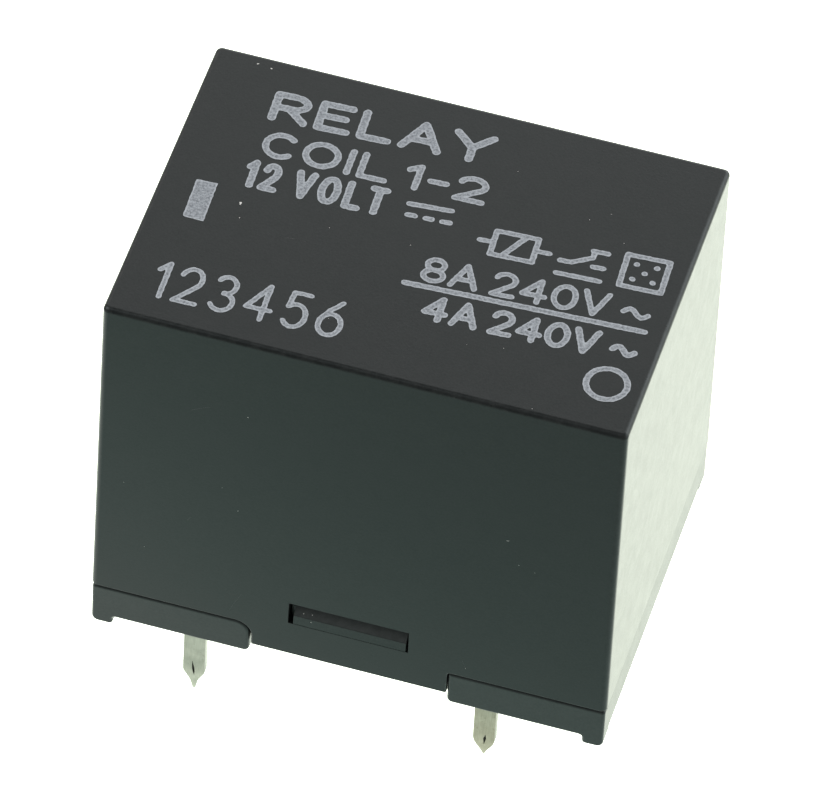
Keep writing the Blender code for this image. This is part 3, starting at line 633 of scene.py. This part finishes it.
def mark(name, strokes=(), half=0.14, fills=(), cell=0.055, low=18.885, high=18.899):
    """Flat mark on the case's top, from strokes with round ends and filled outlines: the region nearer than half to a
    stroke, meshed on a fine grid cut along its border, with each vertex's depth from the border."""
    pts = [p for s in strokes for p in s] + [p for s in fills for p in s]
    x0, y0 = min(p[0] for p in pts) - half - 0.2, min(p[1] for p in pts) - half - 0.2
    x1, y1 = max(p[0] for p in pts) + half + 0.2, max(p[1] for p in pts) + half + 0.2
    nx, ny = int((x1 - x0) / cell) + 2, int((y1 - y0) / cell) + 2
    gx, gy = np.meshgrid(x0 + cell * np.arange(nx), y0 + cell * np.arange(ny), indexing="ij")
    field = np.full((nx, ny), 9.0)
    for stroke in strokes:
        for (ax, ay), (bx, by) in zip(stroke, stroke[1:]):
            i0, i1 = int((min(ax, bx) - x0 - half - 0.3) / cell), int((max(ax, bx) - x0 + half + 0.3) / cell) + 2
            j0, j1 = int((min(ay, by) - y0 - half - 0.3) / cell), int((max(ay, by) - y0 + half + 0.3) / cell) + 2
            part = (slice(max(i0, 0), i1), slice(max(j0, 0), j1))
            px, py = gx[part] - ax, gy[part] - ay
            dx, dy = bx - ax, by - ay
            t = np.clip((px * dx + py * dy) / max(dx * dx + dy * dy, 1e-12), 0, 1)
            field[part] = np.minimum(field[part], np.hypot(px - t * dx, py - t * dy) - half)
    for outline in fills:
        # convex outlines, counterclockwise
        inside = np.full((nx, ny), -9.0)
        for (ax, ay), (bx, by) in zip(outline, outline[1:] + outline[:1]):
            length = math.hypot(bx - ax, by - ay)
            inside = np.maximum(inside, ((gx - ax) * (by - ay) - (gy - ay) * (bx - ax)) / length)
        field = np.minimum(field, inside)
    field = field + ragged(gx, gy)
    field[np.abs(field) < 1e-4] = 1e-4
    bm = bmesh.new()
    depth = bm.verts.layers.float.new("rim")
    known = {}

    def vertex(key, x, y, d):
        if key not in known:
            pair = []
            for z in (high, low):
                v = bm.verts.new((x, y, z))
                v[depth] = d
                pair.append(v)
            known[key] = pair
        return known[key]

    inside = field < 0
    busy = inside[:-1, :-1] | inside[1:, :-1] | inside[:-1, 1:] | inside[1:, 1:]
    for i, j in zip(*np.nonzero(busy)):
        i, j = int(i), int(j)
        ring, border = [], []
        corners = ((i, j), (i + 1, j), (i + 1, j + 1), (i, j + 1))
        for k in range(4):
            (a, b), (c, d) = corners[k], corners[(k + 1) % 4]
            fa, fb = field[a, b], field[c, d]
            if fa < 0:
                ring.append(vertex((a, b), gx[a, b], gy[a, b], -fa))
                border.append(False)
            if (fa < 0) != (fb < 0):
                t = fa / (fa - fb)
                key = (min((a, b), (c, d)), max((a, b), (c, d)))
                ring.append(vertex(key, gx[a, b] + t * (gx[c, d] - gx[a, b]), gy[a, b] + t * (gy[c, d] - gy[a, b]), 0.0))
                border.append(fa < 0)
        if len(ring) < 3:
            continue
        bm.faces.new([v[0] for v in ring])
        bm.faces.new([v[1] for v in reversed(ring)])
        for k in range(len(ring)):
            if border[k]:
                a, b = ring[k], ring[(k + 1) % len(ring)]
                bm.faces.new((b[0], a[0], a[1], b[1]))
    bmesh.ops.transform(bm, matrix=Matrix.Scale(MM, 4), verts=bm.verts)
    mesh = bpy.data.meshes.new(name)
    bm.to_mesh(mesh)
    bm.free()
    ob = bpy.data.objects.new(name, mesh)
    scene.collection.objects.link(ob)
    return dress(ob, mark_grey)


def ring(x, y, r, n=36):
    return arc(x, y, r, r, 0, 360, n)


mark("mark_index", fills=[[(-9.46, -1.92), (-8.56, -1.95), (-8.64, 0.27), (-9.53, 0.23)]], half=0.0)
mark("mark_title", row("RELAY", -7.84, 4.38, 1.58, 4.77, 1.72, 0.175, 0.44), 0.175)
mark("mark_coil", row("COIL 1-2", -7.58, 2.34, 1.98, 2.53, 1.52, 0.145, 0.42), 0.145)
mark("mark_voltage", row("12 VOLT", -7.78, 0.44, -1.76, 0.63, 1.62, 0.160, 0.36), 0.160)
mark("mark_direct", [[(-0.93, 1.71), (0.83, 1.86)], [(-0.83, 1.10), (-0.53, 1.11)], [(-0.06, 1.13), (0.19, 1.14)],
                     [(0.63, 1.16), (0.95, 1.19)]], 0.13)
mark("mark_rating_upper", row("8A 240V ~", 0.62, -2.28, 10.14, -1.80, 1.44, 0.125), 0.125)
mark("mark_rule", [[(0.14, -2.56), (10.08, -2.08)]], 0.14)
mark("mark_rating_lower", row("4A 240V ~", 1.24, -4.31, 10.18, -3.95, 1.44, 0.14), 0.14)
mark("mark_code", row("123456", -9.50, -6.62, -1.49, -6.45, 2.10, 0.115), 0.115)
# three plain circuit symbols: a coil, a changeover contact and a five pin outline
mark("mark_symbols", [placed(s, 3.80, 0.78, 2.6) for s in (
        [(-1.45, 0), (-0.88, 0)], [(0.88, 0), (1.45, 0)],
        [(-0.88, -0.66), (0.88, -0.66), (0.88, 0.66), (-0.88, 0.66), (-0.88, -0.66)], [(-0.40, -0.66), (0.40, 0.66)])]
     + [placed(s, 6.66, 0.70, 2.6) for s in (
        [(-0.90, 0), (-0.45, 0), (0.36, 0.48)], [(0.30, 0.86), (0.90, 0.86)], [(0.36, 0.86), (0.36, 0.66)],
        [(0.90, 0), (0.46, 0)], [(-0.90, -0.72), (0.90, -0.72)])]
     + [placed(s, 9.22, 1.02, 2.6) for s in (
        [(-0.88, -0.88), (0.88, -0.88), (0.88, 0.88), (-0.88, 0.88), (-0.88, -0.88)], [(-0.42, -0.42), (-0.40, -0.42)],
        [(0.42, -0.42), (0.44, -0.42)], [(-0.42, 0.42), (-0.40, 0.42)], [(0.42, 0.42), (0.44, 0.42)], [(-0.01, 0), (0.01, 0)])],
     0.125)
mark("mark_ring", [ring(9.42, -5.30, 0.84)], 0.13)


# --- dust and scratches --------------------------------------------------------------------------------------------------
def on_top(u, v):
    return Vector((u, v, TOP)), Vector((1, 0, 0)), Vector((0, 1, 0)), Vector((0, 0, 1))


def on_front(u, v):
    k = (v - EDGE_Z) / (TOP - TOP_R - EDGE_Z)
    return Vector((u, -(HY - DRAFT_Y * k), v)), Vector((1, 0, 0)), Vector((0, 0, 1)), Vector((0, -1, 0))


def flake(bm, where, u, v, a, b, turn, height, seed):
    """One grain: a low irregular dome, closed below, a little sunk into the face."""
    p, e1, e2, n = where(u, v)
    c, s = math.cos(turn), math.sin(turn)
    d1, d2 = e1 * c + e2 * s, e2 * c - e1 * s
    top = bm.verts.new(p + n * height)
    bottom = bm.verts.new(p - n * 0.01)
    outer, mid = [], []
    for k in range(10):
        t = 2 * math.pi * k / 10
        r = 1.0 + 0.28 * math.sin(3 * t + seed) + 0.16 * math.sin(5 * t + 2.3 * seed)
        outer.append(bm.verts.new(p + d1 * (a * r * math.cos(t)) + d2 * (b * r * math.sin(t)) - n * 0.004))
        mid.append(bm.verts.new(p + d1 * (0.62 * a * r * math.cos(t)) + d2 * (0.62 * b * r * math.sin(t)) + n * height * 0.75))
    for k in range(10):
        m = (k + 1) % 10
        bm.faces.new((outer[k], outer[m], mid[m], mid[k]))
        bm.faces.new((mid[k], mid[m], top))
        bm.faces.new((outer[m], outer[k], bottom))


dust = bmesh.new()
for k, (u, v, a, b, turn) in enumerate((
        (-7.44, -0.48, 0.055, 0.105, 0.1), (-7.24, -1.27, 0.022, 0.030, 0.4), (-9.10, 7.31, 0.060, 0.034, 0.5),
        (-8.49, 7.23, 0.060, 0.036, -0.4), (-3.61, -0.63, 0.022, 0.020, 0.0), (-0.22, -0.50, 0.026, 0.022, 1.1),
        (7.97, 2.39, 0.020, 0.024, 0.7), (7.04, 3.79, 0.018, 0.018, 0.0), (6.28, 3.21, 0.020, 0.022, 0.5),
        (4.95, -4.75, 0.022, 0.024, 0.2), (6.95, -7.55, 0.026, 0.018, 0.1), (2.76, 4.88, 0.016, 0.018, 0.3),
        (6.94, -1.22, 0.018, 0.022, 0.9), (3.49, -5.03, 0.016, 0.014, 0.4), (-2.20, -5.45, 0.016, 0.014, 1.4))):
    flake(dust, on_top, u, v, a, b, turn, 0.006, 1.3 * k)
for k, (u, v, a, b, turn) in enumerate((
        (-4.70, 14.63, 0.030, 0.020, 0.2), (-4.93, 8.93, 0.030, 0.014, 0.3), (-8.85, 5.36, 0.018, 0.016, 0.0),
        (6.44, 11.16, 0.075, 0.014, 0.25), (6.97, 9.87, 0.018, 0.022, 0.2), (7.66, 9.66, 0.012, 0.012, 0.0),
        (5.06, 2.85, 0.020, 0.018, 0.5), (-5.65, 10.07, 0.014, 0.012, 0.8), (-9.83, 8.94, 0.014, 0.012, 0.1))):
    flake(dust, on_front, u, v, a, b, turn, 0.005, 2.1 * k + 0.5)
# three grains on the latch: two on its ramp, one on its nose
def on_ramp(u, v):
    k = (v - 3.37) / 0.70
    return Vector((u, -(7.935 - 0.685 * k), v)), Vector((1, 0, 0)), Vector((0, 0.7, 0.714)), Vector((0, -0.714, 0.7))


flake(dust, on_ramp, -1.98, 3.50, 0.026, 0.024, 0.3, 0.006, 0.4)
flake(dust, on_ramp, -1.61, 3.52, 0.022, 0.026, 1.1, 0.006, 2.9)
flake(dust, lambda u, v: (Vector((u, -7.955, v)), Vector((1, 0, 0)), Vector((0, 0, 1)), Vector((0, -1, 0))),
      -1.61, 3.25, 0.022, 0.022, 0.0, 0.006, 1.9)
dress(mesh_object("surface_dust", dust), speck_white)


def hairline(bm, where, u0, v0, u1, v1, width, steps=10):
    """One fine scratch: a slender raised burr that fades at both ends."""
    length = math.hypot(u1 - u0, v1 - v0)
    across = (-(v1 - v0) / length, (u1 - u0) / length)
    rings = []
    for k in range(steps + 1):
        t = k / steps
        w = width * (0.15 + 0.85 * math.sin(math.pi * t) ** 0.7) * (0.8 + 0.2 * math.sin(11 * t + u0))
        bend = 0.015 * length * math.sin(math.pi * t)
        cu, cv = u0 + (u1 - u0) * t + across[0] * bend, v0 + (v1 - v0) * t + across[1] * bend
        ring = []
        for side, lift in ((-1, -0.003), (0, 0.003), (1, -0.003)):
            p, e1, e2, n = where(cu + across[0] * side * w / 2, cv + across[1] * side * w / 2)
            ring.append(p + n * lift)
        rings.append(ring)
    loft(bm, rings)


scratches = bmesh.new()
hairline(scratches, on_top, -5.19, -1.73, -4.62, -1.68, 0.030)
hairline(scratches, on_top, -5.55, -1.88, -5.24, -1.80, 0.014)
hairline(scratches, on_top, -4.55, -1.73, -4.16, -1.66, 0.014)
hairline(scratches, on_front, -7.15, 14.20, -6.18, 14.75, 0.022)
hairline(scratches, on_front, -5.12, 2.75, -4.60, 3.98, 0.014)
hairline(scratches, on_front, -7.06, 7.60, -6.92, 7.88, 0.016)
hairline(scratches, on_front, 4.86, 3.40, 5.06, 2.80, 0.016)
dress(mesh_object("scratches", scratches), scratch_grey)


# --- pins ------------------------------------------------------------------------------------------------------------------
def blade(x, y, rows, along="x"):
    """A flat pin as a loft of rounded rectangles: rows of (height, half width, half thickness)."""
    rings = []
    for z, w, t in rows:
        r = min(0.05, 0.8 * min(w, t))
        if along == "x":
            rings.append([(x + u, y + v, z) for u, v in rectangle(-w, w, -t, t, r, 5)])
        else:
            rings.append([(x + u, y + v, z) for u, v in rectangle(-t, t, -w, w, r, 5)])
    return loft(bmesh.new(), rings)


TIP = -4.72
WAISTED = [(TIP, 0.030, 0.030), (TIP + 0.03, 0.055, 0.05), (TIP + 0.16, 0.085, 0.08), (TIP + 0.35, 0.120, 0.10),
           (TIP + 0.53, 0.155, 0.13), (TIP + 0.72, 0.222, 0.155), (TIP + 0.91, 0.318, 0.18), (TIP + 1.10, 0.415, 0.20),
           (TIP + 1.22, 0.465, 0.208), (TIP + 1.30, 0.475, 0.21)]
PLAIN = [(TIP, 0.030, 0.030), (TIP + 0.04, 0.055, 0.05), (TIP + 0.23, 0.120, 0.09), (TIP + 0.42, 0.212, 0.13),
         (TIP + 0.61, 0.316, 0.16), (TIP + 0.80, 0.408, 0.19), (TIP + 0.98, 0.456, 0.205), (TIP + 1.12, 0.475, 0.21)]


def crease(x, y, facing, z0, z1, lean, widths, depth):
    """Wedge that presses a short crease into one face of a pin; facing is -1 or 1 along Y. The faces it cuts take a
    near-black finish: painted shade in the crease.
    """
    face = y + facing * 0.21
    rings = []
    for k, w in enumerate(widths):
        t = k / (len(widths) - 1)
        z, cx = z0 + (z1 - z0) * t, x + lean * (0.5 - t)
        d = depth * w / max(widths)
        rings.append([(cx - w / 2, face + facing * 0.06, z), (cx + w / 2, face + facing * 0.06, z), (cx, face - facing * d, z)])
    return loft(bmesh.new(), rings)


def finish_pin(ob, node, cut):
    finish = NODE_FINISH[node].material
    if cut is not None:
        guide = mesh_object(node + "_guide", cut)
        # the crease faces take the near-black finish: painted shade in the crease
        guide.data.materials.append(crease_shade_metal.material)
        ob.data.materials.append(finish)
        mod = ob.modifiers.new("crease", "BOOLEAN")
        mod.operation, mod.solver, mod.object, mod.material_mode = "DIFFERENCE", "EXACT", guide, "TRANSFER"
        settle(ob)
        mesh = guide.data
        bpy.data.objects.remove(guide)
        bpy.data.meshes.remove(mesh)
    ob.data.shade_smooth()
    ob.data.set_sharp_from_angle(angle=math.radians(32))
    if not ob.data.materials:
        ob.data.materials.append(finish)
    axis = 1 if node == "terminal_common" else 0
    side = [1.0 if abs(p.normal[axis]) > 0.8 else 0.0 for p in ob.data.polygons]
    ob.data.attributes.new("sheared", "FLOAT", "FACE").data.foreach_set("value", side)
    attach(ob, "relay")
    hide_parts(node)


POST = [(4.85, 0.475, 0.21), (5.05, 0.25, 0.21), (6.70, 0.25, 0.21), (6.90, 0.15, 0.12)]
for name, sy in (("coil_terminal_front", -1), ("coil_terminal_back", 1)):
    pin = mesh_object(name + "_metal", blade(-6.99, sy * 6.20, WAISTED + POST))
    finish_pin(pin, name, crease(-7.00, sy * 6.20, sy, -3.72, -2.86, 0.10, (0.04, 0.15, 0.17, 0.12, 0.05), 0.10))


def pin_on_plate(node, x, y, along, join, cut):
    """A terminal's plate and arm in their CAD shape, and below the join its pin, a loft with small rounded corners."""
    ob = bpy.data.objects.new(node + "_metal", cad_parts[node].data.copy())
    scene.collection.objects.link(ob)
    for name in [a.name for a in ob.data.attributes if a.name.startswith("custom_normal")]:
        ob.data.attributes.remove(ob.data.attributes[name])
    bm = bmesh.new()
    bm.from_mesh(ob.data)
    bmesh.ops.remove_doubles(bm, verts=bm.verts, dist=1e-7)
    bmesh.ops.dissolve_limit(bm, angle_limit=math.radians(0.5), verts=bm.verts, edges=bm.edges)
    bm.to_mesh(ob.data)
    bm.free()
    ob.data.materials.clear()
    combine(ob, [("DIFFERENCE", box(x - 1.5, x + 1.5, y - 1.5, y + 1.5, -6, join)),
                 ("UNION", blade(x, y, PLAIN + [(join + 0.06, 0.475, 0.21)], along))])
    finish_pin(ob, node, cut)


for name, sy in (("terminal_no", -1), ("terminal_nc", 1)):
    pin_on_plate(name, 5.56, sy * 5.80, "x", 1.30, crease(5.60, sy * 5.80, sy, -4.17, -3.34, -0.05, (0.03, 0.08, 0.14, 0.21, 0.06), 0.10))
pin_on_plate("terminal_common", -8.95, 0.0, "y", 1.30, None)

# --- contact leaf, which bends between yoke and armature --------------------------------------------------------------------
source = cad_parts["moving_spring"]
leaf = bpy.data.objects.new("contact_leaf", source.data.copy())
scene.collection.objects.link(leaf)
bm = bmesh.new()
bm.from_mesh(leaf.data)
bmesh.ops.remove_doubles(bm, verts=bm.verts, dist=1e-7)
bm.to_mesh(leaf.data)
bm.free()
for name in [a.name for a in leaf.data.attributes if a.name.startswith("custom_normal")]:
    leaf.data.attributes.remove(leaf.data.attributes[name])
leaf.data.shade_smooth()
leaf.data.set_sharp_from_angle(angle=math.radians(35))
leaf.data.materials.clear()
leaf.data.materials.append(spring_metal.material)
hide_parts("moving_spring")
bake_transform(leaf, "relay", "armature", start=(-0.00865, 0, 0.01290), end=(-0.00740, 0, 0.01520))

# --- winding: every turn of the outer layer -----------------------------------------------------------------------------------
profile = [(3.10, 4.85), (5.20, 4.85)]
turns, z0, z1 = 34, 4.90, 11.70
pitch = (z1 - z0) / turns
for k in range(turns):
    mid = z0 + pitch * (k + 0.5)
    for s in range(6):
        a = math.pi * (s / 5 - 0.5)
        profile.append((5.245 + 0.104 * math.cos(a), mid + pitch * 0.495 * math.sin(a)))
profile += [(5.20, 11.75), (3.10, 11.75)]
winding = mesh_object("winding_turns", lathe(profile, 72, (-1.50, 0, 0)))
winding.data.shade_smooth()
winding.data.set_sharp_from_angle(angle=math.radians(50))
dress(winding, wire)
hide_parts("coil_winding")

# --- turned pieces: core, contacts and rivets, with the small radii of heading ------------------------------------------------
def eased(profile, r, n=4):
    """A turned profile with its corners rounded."""
    out = [profile[0]]
    for before, corner, after in zip(profile, profile[1:], profile[2:]):
        p = Vector(corner)
        da, db = Vector(before) - p, Vector(after) - p
        half = da.angle(db) / 2
        cut = min(r / math.tan(half), 0.42 * da.length, 0.42 * db.length)
        da.normalize()
        db.normalize()
        centre = p + (da + db).normalized() * (cut * math.tan(half) / math.sin(half))
        start, end = p + da * cut - centre, p + db * cut - centre
        a0 = math.atan2(start.y, start.x)
        turn = (math.atan2(end.y, end.x) - a0 + math.pi) % (2 * math.pi) - math.pi
        for k in range(n + 1):
            a = a0 + turn * k / n
            out.append((centre.x + start.length * math.cos(a), centre.y + start.length * math.sin(a)))
    return out + [profile[-1]]


def turned(node, profile, finish, place, body="relay", r=0.05, n=64):
    bm = lathe(eased(profile, r), n)
    bmesh.ops.transform(bm, matrix=place, verts=bm.verts)
    ob = mesh_object(node + "_turned", bm)
    ob.data.shade_smooth()
    ob.data.set_sharp_from_angle(angle=math.radians(50))
    dress(ob, finish, body)
    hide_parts(node)


turned("core", [(0, 2.90), (1.9, 2.90), (2.0, 3.00), (2.0, 3.97), (2.5, 3.97), (2.5, 12.60), (3.50, 12.60), (3.60, 12.70),
                (3.60, 13.43), (3.48, 13.55), (0, 13.55)], core_metal, Matrix.Translation((-1.50, 0, 0)), r=0.06, n=96)
turned("contact_no", [(0, 13.28), (0.80, 13.28), (0.90, 13.38), (0.90, 13.48), (0.60, 13.48), (0.60, 13.94), (1.20, 13.94),
                      (1.20, 14.22), (1.02, 14.34), (0, 14.34)], silver, Matrix.Translation((7.40, 0, 0)))
turned("contact_nc", [(0, 16.125), (1.02, 16.125), (1.20, 16.245), (1.20, 16.525), (0.60, 16.525), (0.60, 16.985),
                      (0.90, 16.985), (0.90, 17.085), (0.80, 17.185), (0, 17.185)], silver,
       Matrix.Translation((7.40, 0, 0)))
open_pose = Matrix.Translation((-8.35, 0, 13.57)) @ Matrix.Rotation(-math.radians(2.5), 4, "Y")
turned("moving_contact", [(0, 0.80), (1.02, 0.80), (1.20, 0.92), (1.20, 1.20), (0.60, 1.20), (0.60, 1.40), (1.20, 1.40),
                          (1.20, 1.68), (1.02, 1.80), (0, 1.80)], silver,
       open_pose @ Matrix.Translation((15.75 / math.cos(math.radians(2.5)), 0, 0)), "armature")
for name, sy in (("armature_rivet_front", -1), ("armature_rivet_back", 1)):
    turned(name, [(0, 0.03), (0.42, 0.03), (0.50, 0.10), (0.50, 1.40), (0.95, 1.40), (0.95, 1.50), (0.72, 1.72), (0.35, 1.80),
                  (0, 1.82)], rivet, open_pose @ Matrix.Translation((4.35, sy * 1.30, 0)), "armature")
for name, sy in (("spring_rivet_front", -1), ("spring_rivet_back", 1)):
    turned(name, [(0, -9.57), (0.35, -9.55), (0.70, -9.47), (0.92, -9.27), (0.92, -9.17), (0.50, -9.17), (0.50, -7.50),
                  (0.42, -7.43), (0, -7.43)], rivet,
           Matrix.Translation((0, sy * 1.40, 9.60)) @ Matrix.Rotation(math.radians(90), 4, "Y"))

# --- floor and light -----------------------------------------------------------------------------------------------------------
bm = bmesh.new()
loop = [bm.verts.new((3.0 * math.cos(2 * math.pi * k / 64), 3.0 * math.sin(2 * math.pi * k / 64), -4.72 * MM)) for k in range(64)]
bm.faces.new(loop)
mesh = bpy.data.meshes.new("floor")
bm.to_mesh(mesh)
bm.free()
floor = bpy.data.objects.new("floor", mesh)
scene.collection.objects.link(floor)
floor_finish = Finish("floor")
floor_finish.set(Roughness=0.9)
floor_finish.to("Base Color", floor_finish.mix(floor_finish.noise(0.05, 3.0), (0.52, 0.53, 0.51), (0.56, 0.57, 0.55)))
# a sheet lit from below: dim in front, bright behind and to the right, fading further away
f = floor_finish
place = f.nodes.new("ShaderNodeSeparateXYZ")
f.links.new(f.mm, place.inputs[0])
shifted = f.nodes.new("ShaderNodeVectorMath")
shifted.operation = "SUBTRACT"
shifted.inputs[1].default_value = (-4.0, 14.0, 0.0)
f.links.new(f.mm, shifted.inputs[0])
away = f.nodes.new("ShaderNodeVectorMath")
away.operation = "LENGTH"
f.links.new(shifted.outputs["Vector"], away.inputs[0])
reach = f.spread(away.outputs["Value"], 38.0, 120.0, 1.0, 0.15)
beside = f.math("MAXIMUM", f.math("SUBTRACT", place.outputs["X"], 12.0), 0.0)
slant = f.math("SUBTRACT", place.outputs["Y"], f.math("MULTIPLY", beside, 0.40))
lean = f.math("SUBTRACT", place.outputs["Y"], f.math("MULTIPLY", place.outputs["X"], 0.34))
ahead = f.math("MULTIPLY", f.math("ADD", f.spread(lean, -28.0, -23.5, 0.34, 0.48), f.spread(lean, -21.0, -10.5, 0.0, 0.47)),
               f.spread(place.outputs["X"], -14.0, 12.0, 1.05, 0.93))
behind = f.spread(slant, -7.5, -3.5, 0.0, 1.60)
f.to("Emission Strength", f.math("MULTIPLY", reach, f.math("ADD", ahead, behind)))
tint = f.mix(f.spread(lean, -21.0, -11.5, 0.0, 1.0), (0.62, 1.00, 0.86), (0.78, 1.00, 0.89))
tint = f.mix(f.spread(lean, -11.0, -9.9, 0.0, 1.0), tint, (0.90, 1.00, 0.91))
f.to("Emission Color", f.mix(f.spread(slant, -9.0, -2.5, 0.0, 1.0), tint, (0.93, 1.00, 0.85)))
floor.data.materials.append(floor_finish.material)


def softbox(name, azimuth, elevation, distance, width, height, radiance, colour=(1, 1, 1)):
    """Area light looking at the part. Azimuth 0 is behind it, along +Y, and 90 to its right, along +X."""
    data = bpy.data.lights.new(name, "AREA")
    data.shape = "RECTANGLE"
    data.size, data.size_y = width, height
    data.energy = radiance * math.pi * width * height
    data.color = colour
    ob = bpy.data.objects.new(name, data)
    a, e = math.radians(azimuth), math.radians(elevation)
    direction = Vector((math.sin(a) * math.cos(e), math.cos(a) * math.cos(e), math.sin(e)))
    ob.location = direction * distance
    ob.rotation_mode = "QUATERNION"
    ob.rotation_quaternion = direction.to_track_quat("Z", "Y")
    ob.visible_camera = False
    scene.collection.objects.link(ob)
    return ob


softbox("rear_panel", -18, 34, 0.30, 0.34, 0.20, 0.66, (1.0, 0.92, 0.90))
softbox("key_back_right", 38, 36, 0.60, 0.32, 0.26, 1.2)
softbox("left_panel", -105, 48, 0.60, 0.45, 0.45, 2.4)

world = bpy.data.worlds.new("studio")
scene.world = world
world.use_nodes = True
nodes, links = world.node_tree.nodes, world.node_tree.links
background = nodes["Background"]
coordinate = nodes.new("ShaderNodeTexCoord")
parts = nodes.new("ShaderNodeSeparateXYZ")
links.new(coordinate.outputs["Generated"], parts.inputs[0])
# dim, but bright low down behind the part and to its right
def ramp(value, low, high, to_low, to_high):
    node = nodes.new("ShaderNodeMapRange")
    for key, number in (("From Min", low), ("From Max", high), ("To Min", to_low), ("To Max", to_high)):
        node.inputs[key].default_value = number
    links.new(value, node.inputs["Value"])
    return node.outputs["Result"]


def product(operation, a, b):
    node = nodes.new("ShaderNodeMath")
    node.operation = operation
    for k, v in enumerate((a, b)):
        if isinstance(v, (int, float)):
            node.inputs[k].default_value = v
        else:
            links.new(v, node.inputs[k])
    return node.outputs["Value"]


toward = product("ADD", product("MULTIPLY", parts.outputs["X"], 0.6), product("MULTIPLY", parts.outputs["Y"], 0.8))
glow = product("MULTIPLY", ramp(toward, 0.15, 0.75, 0.0, 1.0), ramp(parts.outputs["Z"], 0.45, 0.85, 1.9, 0.1))
background.inputs["Color"].default_value = (1.0, 1.0, 1.0, 1.0)
links.new(product("ADD", glow, 0.22), background.inputs["Strength"])
